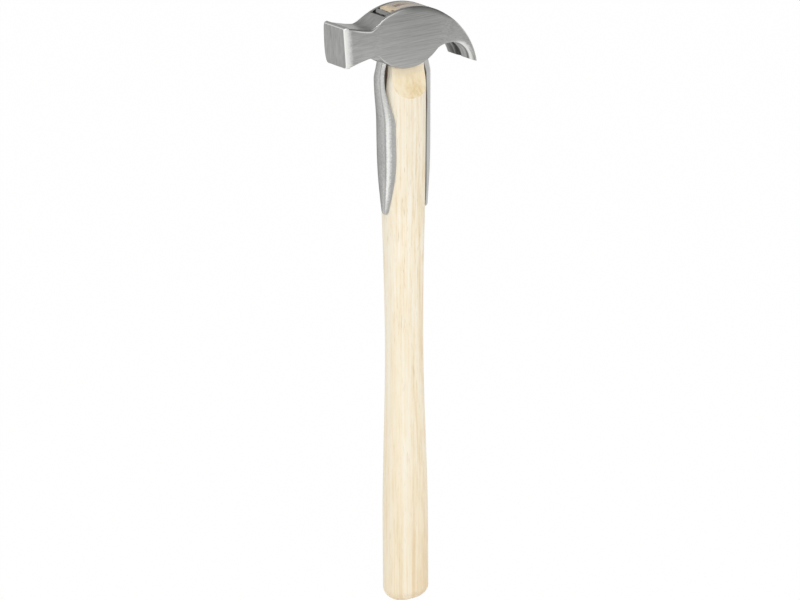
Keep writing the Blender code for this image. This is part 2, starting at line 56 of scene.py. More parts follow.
# Head, side view: drops are measured down from the crown, reaches sideways from the handle's axis
CROWN_RADIUS = 0.0425
CROWN_FRONT_ANGLE = radians(-27)
CLAW_ROOT_ANGLE = radians(26)
CLAW_TIP_ANGLE = radians(82)
CLAW_TIP_THICKNESS = 0.0020
FACE_REACH = 0.0472
FACE_DROP = 0.0049
FACE_HEIGHT = 0.0240
FACE_TILT = radians(3)
FACE_TOP_SLOPE = 0.16
FACE_BOTTOM_SLOPE = 0.18
NECK_REACH = 0.0284
NECK_DROP = 0.0087
NECK_HEIGHT = 0.0168
NECK_TOP_SLOPE = 0.10
NECK_BOTTOM_SLOPE = 0.12
CROWN_FOOT_SLOPE = 0.05
LOBE_RADIUS = 0.0278
LOBE_DROP = 0.0352
LOBE_HEIGHT = HAMMER_LENGTH - LOBE_DROP
LOBE_REACH = 0.0012
LOBE_FILLET = 0.0035
THROAT_DROP = 0.0244
THROAT_END_ANGLE = radians(8)

# Head, across its thickness: a high FACE_FLARE keeps the widening close to the face, a high CLAW_FLARE brings
# it close to the claw's root, and over the first share of the claw it is eased in
CHEEK_WIDTH = 0.0177
CHEEK_REACH = 0.0165
NECK_WIDTH = 0.0196
FACE_WIDTH = 0.0218
FACE_FLARE = 1.5
CLAW_WIDTH = 0.0290
CLAW_FLARE = 1.4
CLAW_EASED_SHARE = 0.30

# Roundings of the head: on the far side of the face, the lower one is spread across by the first factor and
# both along the side by the second; the far claw is worn off from a share of its length to the tip
HEAD_EDGE_ROUND = 0.0007
NECK_EDGE_ROUND = 0.0017
FACE_SIDE_ROUND = 0.0013
FACE_FOOT_SIDE_ROUND = 0.0007
FACE_TOP_ROUND = 0.0007
FACE_ROUND_DEPTH = 0.0030
FACE_CORNER_ROUND = 0.0018
FACE_TOP_CORNER_ROUND = 0.0010
FACE_FAR_SPREAD = (1.8, 6.5)
CLAW_BEVEL_ACROSS = 0.0070
CLAW_BEVEL_UP = 0.0028
CLAW_FAR_WEAR = 0.0024
CLAW_FAR_WEAR_START = 0.80

# Nail slot between the claws: it opens towards the tips, and is widest on the hollow side
SLOT_ROOT_ANGLE = radians(48)
SLOT_TIP_WIDTH = 0.0046
SLOT_ROOT_WIDTH = 0.0016
SLOT_BACK_TIP_WIDTH = 0.0009
SLOT_BACK_ROOT_WIDTH = 0.0006

# Eye through the head, flared towards the crown
EYE_LENGTH = 0.0328
EYE_WIDTH = 0.0120
EYE_CROWN_WIDTH = 0.0131
EYE_CORNER_ROUND = 0.0014

# Handle: full widths along X (depth) and Y (breadth) of its rounded oval; the heights are measured
# up from the butt, and what lies below the head is measured down from its lobe
GRIP_DEPTH = 0.0273
GRIP_BREADTH = 0.0216
GRIP_HEIGHT = 0.0450
WAIST_DEPTH = 0.0227
WAIST_BREADTH = 0.0178
WAIST_HEIGHT = 0.1600
SHOULDER_DEPTH = 0.0268
SHOULDER_BREADTH = 0.0228
SHOULDER_HEIGHT = LOBE_HEIGHT - 0.0198
TENON_START_HEIGHT = LOBE_HEIGHT - 0.0130
OVAL_SQUARENESS = 2.4
BUTT_ROUND = 0.0074
SCOOP_RADIUS = 0.0280

# Straps: steel springs whose tangs run up through the eye in front of and behind the handle
TANG_THICKNESS = 0.0031
TANG_GAP = 0.0009
TANG_START_RISE = 0.0082
STRAP_THICKNESS = 0.0018
STRAP_TIP_THICKNESS = 0.0016
STRAP_EDGE_THICKNESS = 0.0004
STRAP_BEVEL_ACROSS = 0.0025
STRAP_BEVEL_DEPTH = 0.0018
STRAP_FLANK_SPREAD = 0.0011
STRAP_TIP_WIDTH = 0.0048
STRAP_WIDTH = 0.0163
STRAP_BOW_WIDTH = 0.0100
STRAP_NECK_WIDTH = 0.0086
STRAP_TIP_HEIGHT = LOBE_HEIGHT - 0.0860
STRAP_WIDEST_HEIGHT = LOBE_HEIGHT - 0.0476
STRAP_CLOSE_HEIGHT = LOBE_HEIGHT - 0.0328
STRAP_BOW_HEIGHT = LOBE_HEIGHT - 0.0063
STRAP_BOW = 0.0030
STRAP_TIP_ROUNDNESS = 2.2
STRAP_TIP_ROUND = 0.0009
STRAP_TIP_SIDE_ROUND = 0.0019
STRAP_EDGE_ROUND = 0.0006
STRAP_CROWN = 0.0002

# The rear strap is thicker, to fill most of the space behind the wood, and at its bow its inner face is
# hollowed by a share of the wood's round
REAR_TIP_STAND_OFF = 0.0012
REAR_BLADE_FILL = 0.0010
REAR_BOW_FILL = 0.0026
REAR_BOW_HOLLOW = 0.6

# Wedge driven into the saw kerf in the top of the handle
WEDGE_LENGTH = 0.0280
WEDGE_THICKNESS = 0.0034
WEDGE_TOE_THICKNESS = 0.0008
WEDGE_FRONT_REACH = 0.0055
KERF_SPARE_DEPTH = 0.0005

# Most of a wall that a rounding or a bevel may take, how deep the straps' bevels are at the tips, how far the
# slot's cutter overruns, and the stretch of the crown over the fillet
ROUND_SHARE_ACROSS = 0.5
ROUND_SHARE_UP = 0.58
EDGE_SHARE = 0.4
STRAP_BEVEL_SHARE = 0.36
STRAP_TIP_BEVEL_SHARE = 0.45
STRAP_FLANK_SHARE = 0.2
SLOT_SPARE_SHARE = 0.1
SLOT_RUN_OUT = 1.1
CROWN_SHARE_OVER_FILLET = 0.1

# Painted highlights along the head's edges, as bright lines: from where to where round the section, counted
# from the middle of the top (0.5 to 1.5 is an upper corner, 2.5 to 3.5 a lower one), and from which X to
# which
BRIGHT_LINES = (
    (1.28, 1.50, -0.0400, -0.0235),
    (1.00, 1.50, -0.0225, -0.0075),
    (2.50, 2.80, -0.0215, -0.0155),
    (1.00, 1.50, 0.0300, 0.0385),
)
LINE_EDGE = 0.02
LINE_START_FADE = 0.003
LINE_END_FADE = 0.004
CLAW_HOLLOW_START = 0.0190
HEAD_TOP_MARK = 3.5
STRAP_FACE_MARK = 3.0

# Fineness of the meshes, and how far cutters run past what they cut
CORNER_STEPS = 6
FACE_RIM_STEPS = 12
HEAD_STEPS = 28
SLOT_STEPS = 30
CROWN_STEPS = 60
OVAL_STEPS = 120
HANDLE_STEPS = 26
SCOOP_STEPS = 24
STRAP_STEPS = 30
STRAP_INNER_STEPS = 14
STRAP_CORNER_STEPS = 3
STRAP_CORNER_MARK = 0.12
STRAP_FACE_SHARES = (0.25, 0.5, 0.75)
SHARP_ANGLE = radians(32)
CUT_MARGIN = 0.0100

# Places and fits that follow from the sizes above
CROWN_CENTRE = Vector((0.0, HAMMER_LENGTH - CROWN_RADIUS))
LOBE_CENTRE = Vector((-LOBE_REACH, LOBE_HEIGHT + LOBE_RADIUS))
TANG_HEIGHT = LOBE_HEIGHT + TANG_START_RISE
TANG_OUTER = EYE_LENGTH / 2 - TANG_GAP
TANG_INNER = TANG_OUTER - TANG_THICKNESS
TENON_DEPTH = 2 * (TANG_INNER - SEAT_GAP)
TENON_BREADTH = EYE_WIDTH - 2 * SEAT_GAP
CROWN_FIT_WIDTH = EYE_CROWN_WIDTH - 2 * SEAT_GAP
WEDGE_REAR_REACH = TENON_DEPTH / 2 - SEAT_GAP

# Other marks painted by place: middles, and pairs of limits between which each one fades, in metres
NEAR_TO_FAR = (-0.001, 0.001)
# Painted shade where the crown's side turns over, and in the gap in front of the eye
CROWN_TURN = 0.0120
CROWN_TURN_FADE = (0.0100, 0.0170)
CROWN_SEAM = -EYE_LENGTH / 2 - 0.0002
CROWN_SEAM_EDGE = (0.0002, 0.0005)
CROWN_SEAM_ENDS = (0.0068, 0.0076)
CROWN_SEAM_FLOOR = (HAMMER_LENGTH - 0.010, HAMMER_LENGTH - 0.009)
# Painted highlight round the face's rim and on the near claw's bevel, painted shade on the far claw's bevel
FACE_LINE_EDGE = (0.0004, 0.0007)
FACE_POLISH_FADE = (0.0008, 0.0066)
CLAW_BEVEL_START = (CLAW_HOLLOW_START, 0.0320)
CLAW_BEVEL_BRIGHT = (0.0275, 0.0330)
CLAW_TIP_FADE = (0.034, 0.041)
# A painted highlight streak under the far claw, and a real darker growth ring in the wood
HOLLOW_HIGHLIGHT = 0.0040
TAN_STREAK = 0.0046
STREAK_EDGE = (0.0003, 0.0013)
TAN_STREAK_TOP = (0.030, 0.058)
# Painted highlight on the straps' bevels, and painted shade along the rear strap's seam with the wood
STRAP_BRIGHT_TIP = (STRAP_TIP_HEIGHT + 0.001, STRAP_TIP_HEIGHT + 0.012)
STRAP_BRIGHT_TOP = (0.290, 0.308)
REAR_SEAM_FOOT = (STRAP_TIP_HEIGHT + 0.012, STRAP_TIP_HEIGHT + 0.026)
REAR_SEAM_TOP = (LOBE_HEIGHT - 0.006, LOBE_HEIGHT - 0.003)
# Painted shade on the wood behind the front strap, and painted light beside it and under the head
GAP_SHADE_SIDES = (0.0023, 0.0031)
GAP_SHADE_FRONT = (-0.010, -0.009)
GAP_SHADE_FOOT = (0.297, 0.305)
PALE_STRIP_FRONT = (-0.0122, -0.0100)
PALE_STRIP_FOOT = (0.285, 0.300)
PALE_SCOOP = (LOBE_HEIGHT - 0.012, LOBE_HEIGHT)
# Painted shade in a small notch of the tenon's end, which is not shaped
NOTCH = -0.0106
NOTCH_EDGE = (0.0006, 0.0012)
NOTCH_END = (-0.0050, -0.0043)

# Camera: where it stands, found from the photograph, and the pixel at which it sees its target
IMAGE_WIDTH = 800
CAMERA_TURN = radians(35.8)
CAMERA_PITCH = radians(18.3)
CAMERA_ROLL = radians(0.40)
CAMERA_DISTANCE = 2.2
CAMERA_FOCAL_PIXELS = 3812
CAMERA_TARGET = Vector((0.0, 0.0, 0.1846))
CAMERA_TARGET_PIXEL = 403.8
SENSOR_WIDTH = 36.0

# Studio: sizes in metres, powers in watts, and levels of which 1 is white
KEY_RISE = 0.35
KEY_SETBACK = 0.1
KEY_SIZE = 0.9
KEY_POWER = 6.5
TOP_LAMP_PLACE = Vector((-0.25, -0.55, 1.5))
TOP_LAMP_TARGET = Vector((0.0, 0.0, 0.34))
TOP_LAMP_SIZE = 0.5
TOP_LAMP_POWER = 4.5
WORLD_LEVEL = 0.79
TENT_LEFT_LEVEL = 0.95
TENT_RIGHT_LEVEL = 0.35
FLOOR_LEVEL = 0.92
FLOOR_GLOW_SHARE = 0.98
FLOOR_REACH = 4.0
FLOOR_DROP = 0.0002


# Small helpers


def mix(start, end, share):
    return start + (end - start) * share


def ease(share):
    """Rises from 0 to 1 with no slope at either end."""
    share = min(max(share, 0.0), 1.0)
    return share * share * (3 - 2 * share)


def shares(steps):
    return [step / steps for step in range(steps + 1)]


def quarter_round(steps):
    """Steps round a quarter circle: how far along each one lies, and how far it is still drawn in."""
    angles = [share * pi / 2 for share in shares(steps)[:-1]]
    return [(1 - cos(angle), 1 - sin(angle)) for angle in angles]


def stage_heights(stages, steps):
    """Heights in even steps from each stage up to the next, without the last."""
    return [mix(low, high, share) for low, high in zip(stages, stages[1:]) for share in shares(steps)[:-1]]


def on_circle(centre, radius, angle):
    """A point of the XZ plane, with the angle measured from straight up towards plus X."""
    return centre + radius * Vector((sin(angle), cos(angle)))


def moved_across(point, y):
    """A point of the XZ plane, moved across the head."""
    return Vector((point.x, y, point.y))


def sweep(start, start_slope, end, end_slope, share):
    """A curve y(x) from start to end that leaves and arrives at the given slopes."""
    span = end.x - start.x
    cube, square = share**3, share**2
    height = (
        (2 * cube - 3 * square + 1) * start.y
        + (cube - 2 * square + share) * span * start_slope
        + (3 * square - 2 * cube) * end.y
        + (cube - square) * span * end_slope
    )
    return Vector((start.x + span * share, height))


def rounded(corners, reaches, steps):
    """A closed outline whose corners are cut back by the two reaches and bridged by a curve."""
    points = []
    for i, corner in enumerate(corners):
        start = corner + reaches[i][0] * (corners[i - 1] - corner).normalized()
        end = corner + reaches[i][1] * (corners[(i + 1) % len(corners)] - corner).normalized()
        for share in shares(steps):
            points.append(start.lerp(corner, share).lerp(corner.lerp(end, share), share))
    return points


# Mesh tools


def put_in_scene(name, data):
    thing = bpy.data.objects.new(name, data)
    bpy.context.scene.collection.objects.link(thing)
    return thing


def piece_from(name, shape, materials=()):
    bmesh.ops.recalc_face_normals(shape, faces=shape.faces)
    mesh = bpy.data.meshes.new(name)
    shape.to_mesh(mesh)
    shape.free()
    for material in materials:
        mesh.materials.append(material)
    return put_in_scene(name, mesh)


def loft(name, rings, materials, paint, marks=None):
    """A closed skin through rings of equal length, capped at both ends.

    paint(row, side) names each face's material, with row -1 for the first cap. Marks say how far round the
    ring each point lies, and are kept as the U of a UV map.
    """
    shape = bmesh.new()
    rows = [[shape.verts.new(point) for point in ring] for ring in rings]
    count = len(rings[0])
    layer = shape.loops.layers.uv.new("round_the_ring")
    for row in range(len(rows) - 1):
        for i in range(count):
            j = (i + 1) % count
            face = shape.faces.new((rows[row][i], rows[row][j], rows[row + 1][j], rows[row + 1][i]))
            face.material_index = paint(row, i)
            if marks:
                for loop, k in zip(face.loops, (i, j, j, i)):
                    loop[layer].uv = (marks[k], loop.vert.co.z)
    shape.faces.new(rows[0]).material_index = paint(-1, 0)
    shape.faces.new(rows[-1]).material_index = paint(len(rows) - 1, 0)
    return piece_from(name, shape, materials)


def tapered_box(name, low, high, paint, corner_round=0.0, middle=0.0, materials=()):
    """A box between two levels round X = middle; low and high give half X, half Y and Z of each end."""
    shape = bmesh.new()
    bmesh.ops.create_cube(shape, size=2.0)
    for vertex in shape.verts:
        half_x, half_y, height = high if vertex.co.z > 0 else low
        vertex.co = Vector((middle + vertex.co.x * half_x, vertex.co.y * half_y, height))
    if corner_round:
        upright = [edge for edge in shape.edges if len({v.co.z for v in edge.verts}) == 2]
        bmesh.ops.bevel(
            shape, geom=upright, offset=corner_round, segments=CORNER_STEPS, profile=0.5, affect="EDGES"
        )
    for face in shape.faces:
        face.material_index = paint
    return piece_from(name, shape, materials)


def prism(name, outline, half_depth, along, paint):
    """An outline of (across, up) points, extruded to both sides along X or Y."""
    rings = []
    for reach in (-half_depth, half_depth):
        rings.append([Vector((reach, a, z) if along == "X" else (a, reach, z)) for a, z in outline])
    return loft(name, rings, (), lambda row, side: paint)


def subtract(piece, cutter):
    """Cuts a piece; the cutter's faces say which of the piece's materials the new walls take."""
    for material in piece.data.materials:
        cutter.data.materials.append(material)
    modifier = piece.modifiers.new("cut", "BOOLEAN")
    modifier.operation = "DIFFERENCE"
    modifier.solver = "EXACT"
    modifier.object = cutter
    bpy.context.view_layer.update()
    seen = piece.evaluated_get(bpy.context.evaluated_depsgraph_get())
    mesh = bpy.data.meshes.new_from_object(seen)
    piece.modifiers.clear()
    old = piece.data
    piece.data = mesh
    bpy.data.meshes.remove(old)
    bpy.data.objects.remove(cutter, do_unlink=True)


def seat(piece, node):
    """Shades a finished piece and seats it on the frame."""
    piece.data.shade_smooth()
    piece.data.set_sharp_from_angle(angle=SHARP_ANGLE)
    even = piece.modifiers.new("even shading", "WEIGHTED_NORMAL")
    even.keep_sharp = True
    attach(piece, "root")
    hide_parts(node)


# Head, and the order of its materials: the first is for the sides and all the edges, the last also for the
# underside

HEAD_SIDES, HEAD_FACE, HEAD_CUT, HEAD_HOLLOW, HEAD_TOP = range(5)
STATION_VALUES = "top bottom half_width half_foot edge_round round_across round_up far_spread wear"


class Station(namedtuple("Station", STATION_VALUES)):
    """One cross-section of the head: a rectangle with rounded corners, standing on the XZ plane."""

    def drawn_in(self, step, share):
        """The section moved by a step, with the striking face's rounding taken off its rim."""
        up = FACE_TOP_ROUND * share * (self.top - self.bottom).normalized()
        return self._replace(
            top=self.top + step - up,
            bottom=self.bottom + step + up,
            half_width=self.half_width - FACE_SIDE_ROUND * share,
            half_foot=self.half_foot - FACE_FOOT_SIDE_ROUND * share,
        )

    def ring(self):
        """Points round the section: far bottom, far top, near top and near bottom corner."""
        side = (self.top - self.bottom).length
        edge = min(self.edge_round, EDGE_SHARE * side)
        across = min(self.round_across, ROUND_SHARE_ACROSS * self.half_width)
        up = min(self.round_up, ROUND_SHARE_UP * side)
        corners = [
            moved_across(self.bottom, self.half_foot - self.wear),
            moved_across(self.top, self.half_width - self.wear),
            moved_across(self.top, -self.half_width),
            moved_across(self.bottom, -self.half_foot),
        ]
        wider, longer = self.far_spread
        far = [(across * wider, up * longer), (edge * longer, edge)]
        return rounded(corners, [*far, (edge, edge), (up, across)], CORNER_STEPS)


def claw_tip():
    return on_circle(CROWN_CENTRE, CROWN_RADIUS, CLAW_TIP_ANGLE)


def throat_radius():
    """The hollow under the claw touches the lobe's arc, and ends a claw's thickness inside the tip."""
    reach = claw_tip().x - CLAW_TIP_THICKNESS - LOBE_CENTRE.x
    lift = LOBE_CENTRE.y - HAMMER_LENGTH + THROAT_DROP
    turn = cos(THROAT_END_ANGLE)
    half_sum = turn * reach + LOBE_RADIUS - lift
    spare = reach**2 - LOBE_RADIUS**2 + lift**2
    return (half_sum - sqrt(half_sum**2 - turn**2 * spare)) / turn**2


def throat_centre(radius):
    height = HAMMER_LENGTH - THROAT_DROP - radius
    return Vector((claw_tip().x - CLAW_TIP_THICKNESS - radius * cos(THROAT_END_ANGLE), height))


def lobe_fillet_centre():
    """The small fillet where the poll's level underside runs into the lobe."""
    height = HAMMER_LENGTH - NECK_DROP - NECK_HEIGHT - LOBE_FILLET
    fall = LOBE_CENTRE.y - height
    return Vector((LOBE_CENTRE.x - sqrt((LOBE_RADIUS + LOBE_FILLET) ** 2 - fall**2), height))


def lobe_turn(centre):
    """The angle under which the lobe's centre is seen from another circle's centre."""
    return atan2(LOBE_CENTRE.x - centre.x, LOBE_CENTRE.y - centre.y)


def claw_pair(share):
    """Points of the claw's back and of its hollow, from the root at 0 to the tip at 1."""
    hollow = throat_radius()
    throat = throat_centre(hollow)
    end = pi / 2 - THROAT_END_ANGLE
    top = on_circle(CROWN_CENTRE, CROWN_RADIUS, mix(CLAW_ROOT_ANGLE, CLAW_TIP_ANGLE, share))
    return top, on_circle(throat, hollow, mix(lobe_turn(throat), end, share))


def head_outline():
    """Pairs of top and bottom points along the head, from the striking face to the claw's tip."""
    face_top = Vector((-FACE_REACH, HAMMER_LENGTH - FACE_DROP))
    face_bottom = face_top + FACE_HEIGHT * Vector((sin(FACE_TILT), -cos(FACE_TILT)))
    neck_top = Vector((-NECK_REACH, HAMMER_LENGTH - NECK_DROP))
    neck_bottom = neck_top - Vector((0.0, NECK_HEIGHT))
    crown_front = on_circle(CROWN_CENTRE, CROWN_RADIUS, CROWN_FRONT_ANGLE)
    fillet = lobe_fillet_centre()
    fillet_turn = lobe_turn(fillet)
    lobe_start = fillet_turn + pi
    lobe_end = lobe_turn(throat_centre(throat_radius())) + pi
    fillet_foot = Vector((fillet.x, neck_bottom.y))
    cheek_angle = CROWN_FRONT_ANGLE * (1 - CROWN_SHARE_OVER_FILLET)
    pairs = []
    for share in shares(HEAD_STEPS)[:-1]:
        top = sweep(face_top, -FACE_TOP_SLOPE, neck_top, -NECK_TOP_SLOPE, share)
        bottom = sweep(face_bottom, FACE_BOTTOM_SLOPE, neck_bottom, NECK_BOTTOM_SLOPE, share)
        pairs.append((top, bottom))
    for share in shares(HEAD_STEPS)[:-1]:
        top = sweep(neck_top, CROWN_FOOT_SLOPE, crown_front, -tan(CROWN_FRONT_ANGLE), share)
        pairs.append((top, neck_bottom.lerp(fillet_foot, share)))
    for share in shares(CORNER_STEPS)[:-1]:
        bottom = on_circle(fillet, LOBE_FILLET, mix(0.0, fillet_turn, share))
        top = on_circle(CROWN_CENTRE, CROWN_RADIUS, mix(CROWN_FRONT_ANGLE, cheek_angle, share))
        pairs.append((top, bottom))
    for share in shares(2 * HEAD_STEPS)[:-1]:
        top = on_circle(CROWN_CENTRE, CROWN_RADIUS, mix(cheek_angle, CLAW_ROOT_ANGLE, share))
        bottom = on_circle(LOBE_CENTRE, LOBE_RADIUS, mix(lobe_start, lobe_end, share))
        pairs.append((top, bottom))
    pairs.extend(claw_pair(share) for share in shares(2 * HEAD_STEPS))
    return pairs


def head_station(top, bottom):
    """Width of the head at a pair of points: it flares to the face and out along the claws."""
    poll = max(0.0, (-top.x - NECK_REACH) / (FACE_REACH - NECK_REACH))
    angle = atan2(top.x - CROWN_CENTRE.x, top.y - CROWN_CENTRE.y)
    claw = max(0.0, (angle - CLAW_ROOT_ANGLE) / (CLAW_TIP_ANGLE - CLAW_ROOT_ANGLE))
    neck = ease((-top.x - CHEEK_REACH) / (NECK_REACH - CHEEK_REACH))
    flare = poll**FACE_FLARE
    half = mix(mix(CHEEK_WIDTH, NECK_WIDTH, neck), FACE_WIDTH, flare) / 2
    opened = (1 - (1 - claw) ** CLAW_FLARE) * ease(claw / CLAW_EASED_SHARE)
    half += (CLAW_WIDTH - CHEEK_WIDTH) / 2 * opened
    wear = CLAW_FAR_WEAR * max(0.0, claw - CLAW_FAR_WEAR_START) / (1 - CLAW_FAR_WEAR_START)
    edge = mix(HEAD_EDGE_ROUND, NECK_EDGE_ROUND, neck)
    corner = mix(edge, FACE_CORNER_ROUND, flare)
    round_across = mix(corner, CLAW_BEVEL_ACROSS, claw)
    round_up = mix(corner, CLAW_BEVEL_UP, claw)
    top_corner = mix(edge, FACE_TOP_CORNER_ROUND, flare)
    far_spread = [mix(1.0, most, flare) for most in FACE_FAR_SPREAD]
    return Station(top, bottom, half, half, top_corner, round_across, round_up, far_spread, wear)


def head_stations():
    """The stations of the head; the first few make the rounding round the striking face."""
    stations = [head_station(top, bottom) for top, bottom in head_outline()]
    face = stations[0]
    inward = Vector((cos(FACE_TILT), sin(FACE_TILT)))
    rim = []
    for along, drawn_in in quarter_round(FACE_RIM_STEPS):
        rim.append(face.drawn_in(FACE_ROUND_DEPTH * along * inward, drawn_in))
    behind = face.top.x + FACE_ROUND_DEPTH * inward.x
    return rim + [station for station in stations if station.top.x > behind]


def head_paint(stations):
    """Says which material each face of the head's skin takes."""

    def paint(row, side):
        if row < 0:
            return HEAD_FACE
        corner, step = divmod(side, CORNER_STEPS + 1)
        on_a_side = corner in (0, 2)
        if row < FACE_RIM_STEPS or step < CORNER_STEPS or on_a_side:
            return HEAD_SIDES
        if corner == 3 and stations[row].top.x > CLAW_HOLLOW_START:
            return HEAD_HOLLOW
        return HEAD_TOP

    return paint


def head_marks():
    """Places round the section: each corner's rounding and each wall between two corners counts one."""
    return [2 * corner + share for corner in range(4) for share in shares(CORNER_STEPS)]


def eye_cutter():
    top = HAMMER_LENGTH + CUT_MARGIN
    top_width = mix(EYE_WIDTH, EYE_CROWN_WIDTH, (top - LOBE_HEIGHT) / LOBE_DROP)
    low = (EYE_LENGTH / 2, EYE_WIDTH / 2, LOBE_HEIGHT)
    high = (EYE_LENGTH / 2, top_width / 2, top)
    return tapered_box("eye_cutter", low, high, HEAD_CUT, EYE_CORNER_ROUND)


def nail_slot_cutter():
    """The slot follows the claw round from its root and runs out past the tips."""
    root = (SLOT_ROOT_ANGLE - CLAW_ROOT_ANGLE) / (CLAW_TIP_ANGLE - CLAW_ROOT_ANGLE)
    rings = []
    for share in shares(SLOT_STEPS):
        along = mix(root, SLOT_RUN_OUT, share)
        run = (along - root) / (1 - root)
        back = mix(SLOT_BACK_ROOT_WIDTH, SLOT_BACK_TIP_WIDTH, run) / 2
        hollow = mix(SLOT_ROOT_WIDTH, SLOT_TIP_WIDTH, run) / 2
        rings.append(slot_ring(*claw_pair(along), back, hollow))
    return loft("nail_slot_cutter", rings, (), lambda row, side: HEAD_CUT)


def slot_ring(top, bottom, back, hollow):
    """A section of the slot, run a little past both skins of the claw."""
    spare = SLOT_SPARE_SHARE * (top - bottom)
    wider = SLOT_SPARE_SHARE * (hollow - back)
    above, below = top + spare, bottom - spare
    return [
        moved_across(below, hollow + wider),
        moved_across(above, back - wider),
        moved_across(above, wider - back),
        moved_across(below, -hollow - wider),
    ]


def build_head(materials):
    stations = head_stations()
    rings = [station.ring() for station in stations]
    head = loft("hammer_head", rings, materials, head_paint(stations), head_marks())
    subtract(head, eye_cutter())
    subtract(head, nail_slot_cutter())
    seat(head, "head")


# Handle, and the order of its materials

LONG_GRAIN, SCOOPED_GRAIN, END_GRAIN = range(3)


def oval_half(height):
    """Half depth and half breadth of the handle's oval at a height, before the tenon is cut."""
    grip = ease((height - GRIP_HEIGHT) / (WAIST_HEIGHT - GRIP_HEIGHT))
    swell = ease((height - WAIST_HEIGHT) / (SHOULDER_HEIGHT - WAIST_HEIGHT))
    tenon = ease((height - TENON_START_HEIGHT) / (LOBE_HEIGHT - TENON_START_HEIGHT))
    depth = mix(mix(mix(GRIP_DEPTH, WAIST_DEPTH, grip), SHOULDER_DEPTH, swell), TENON_DEPTH, tenon)
    breadth = mix(mix(GRIP_BREADTH, WAIST_BREADTH, grip), SHOULDER_BREADTH, swell)
    return depth / 2, breadth / 2


def oval_ring(half_depth, half_breadth, height):
    """A rounded oval, squarer than an ellipse."""
    power = 2 / OVAL_SQUARENESS
    points = []
    for step in range(OVAL_STEPS):
        angle = 2 * pi * step / OVAL_STEPS
        across, along = sin(angle), cos(angle)
        x = half_depth * copysign(abs(along) ** power, along)
        y = half_breadth * copysign(abs(across) ** power, across)
        points.append(Vector((x, y, height)))
    return points


def handle_rings():
    rings = []
    half_depth, half_breadth = oval_half(0.0)
    for along, drawn_in in quarter_round(3 * CORNER_STEPS):
        inset = BUTT_ROUND * drawn_in
        rings.append(oval_ring(half_depth - inset, half_breadth - inset, BUTT_ROUND * along))
    stages = [BUTT_ROUND, GRIP_HEIGHT, WAIST_HEIGHT, TENON_START_HEIGHT, LOBE_HEIGHT]
    tenon = [LOBE_HEIGHT, HAMMER_LENGTH + CUT_MARGIN / 2]
    for height in stage_heights(stages, HANDLE_STEPS) + tenon:
        rings.append(oval_ring(*oval_half(height), height))
    return rings


def tenon_cutter(name, side):
    """Wood outside one flat of the tenon; at its foot the flat runs out of the handle in a round scoop."""
    top = HAMMER_LENGTH + CUT_MARGIN
    flat = TENON_BREADTH / 2
    flat_top = mix(flat, CROWN_FIT_WIDTH / 2, (top - LOBE_HEIGHT) / LOBE_DROP)
    outside = SHOULDER_BREADTH / 2 + CUT_MARGIN / 2
    centre = Vector((flat + SCOOP_RADIUS, LOBE_HEIGHT - SEAT_GAP))
    last = acos((centre.x - outside) / SCOOP_RADIUS)
    outline = [(side * outside, top), (side * flat_top, top)]
    for share in shares(SCOOP_STEPS):
        angle = share * last
        y = centre.x - SCOOP_RADIUS * cos(angle)
        outline.append((side * y, centre.y - SCOOP_RADIUS * sin(angle)))
    return prism(name, outline, SHOULDER_DEPTH, "X", SCOOPED_GRAIN)


def kerf_cutter():
    """A saw kerf down the middle of the tenon, in from its rear face and opened by the wedge."""
    front = WEDGE_FRONT_REACH + SEAT_GAP
    rear = WEDGE_REAR_REACH + CUT_MARGIN
    half = (rear + front) / 2
    foot = HAMMER_LENGTH - WEDGE_LENGTH - KERF_SPARE_DEPTH
    low = (half, WEDGE_TOE_THICKNESS / 2 + SEAT_GAP, foot)
    high = (half, WEDGE_THICKNESS / 2 + SEAT_GAP, HAMMER_LENGTH)
    return tapered_box("kerf_cutter", low, high, SCOOPED_GRAIN, middle=(rear - front) / 2)


def crown_trim(paint):
    """Everything above the crown's arc: what stands in the eye is ground off flush with it."""
    top = HAMMER_LENGTH + CUT_MARGIN
    half = asin((EYE_LENGTH / 2 + CUT_MARGIN / 2) / CROWN_RADIUS)
    arc = [on_circle(CROWN_CENTRE, CROWN_RADIUS, mix(-half, half, share)) for share in shares(CROWN_STEPS)]
    outline = [(arc[0].x, top), *[tuple(point) for point in arc], (arc[-1].x, top)]
    return prism("crown_trim", outline, EYE_CROWN_WIDTH, "Y", paint)


def build_handle(materials):
    handle = loft("ash_handle", handle_rings(), materials, lambda row, side: LONG_GRAIN)
    subtract(handle, tenon_cutter("near_flat_cutter", -1))
    subtract(handle, tenon_cutter("far_flat_cutter", 1))
    subtract(handle, kerf_cutter())
    subtract(handle, crown_trim(END_GRAIN))
    seat(handle, "handle")


# Straps, and the order of their materials: the second is for the inner face and both ends

SPRING_STEEL, INNER_FACE = range(2)
Spring = namedtuple("Spring", "side tip_stand_off blade_fill bow_fill hollow")
FRONT_SPRING = Spring(-1, 0.0, 0.0, 0.0, 0.0)
REAR_SPRING = Spring(1, REAR_TIP_STAND_OFF, REAR_BLADE_FILL, REAR_BOW_FILL, REAR_BOW_HOLLOW)


def strap_blade(height):
    """Rises from 0 at the strap's tip to 1 where it is widest."""
    tip = (height - STRAP_TIP_HEIGHT) / (STRAP_WIDEST_HEIGHT - STRAP_TIP_HEIGHT)
    return 1 - max(0.0, 1 - tip) ** STRAP_TIP_ROUNDNESS


def strap_lift(height):
    """Rises from 0 where the strap leaves the wood to 1 at the top of its bow."""
    return ease((height - STRAP_CLOSE_HEIGHT) / (STRAP_BOW_HEIGHT - STRAP_CLOSE_HEIGHT))


def strap_width(height):
    neck = ease((height - STRAP_BOW_HEIGHT) / (LOBE_HEIGHT - STRAP_BOW_HEIGHT))
    tang = min(max(0.0, (height - TANG_HEIGHT) / (HAMMER_LENGTH - TANG_HEIGHT)), 1.0)
    width = mix(mix(STRAP_TIP_WIDTH, STRAP_WIDTH, strap_blade(height)), STRAP_BOW_WIDTH, strap_lift(height))
    return mix(mix(width, STRAP_NECK_WIDTH, neck), CROWN_FIT_WIDTH, tang)


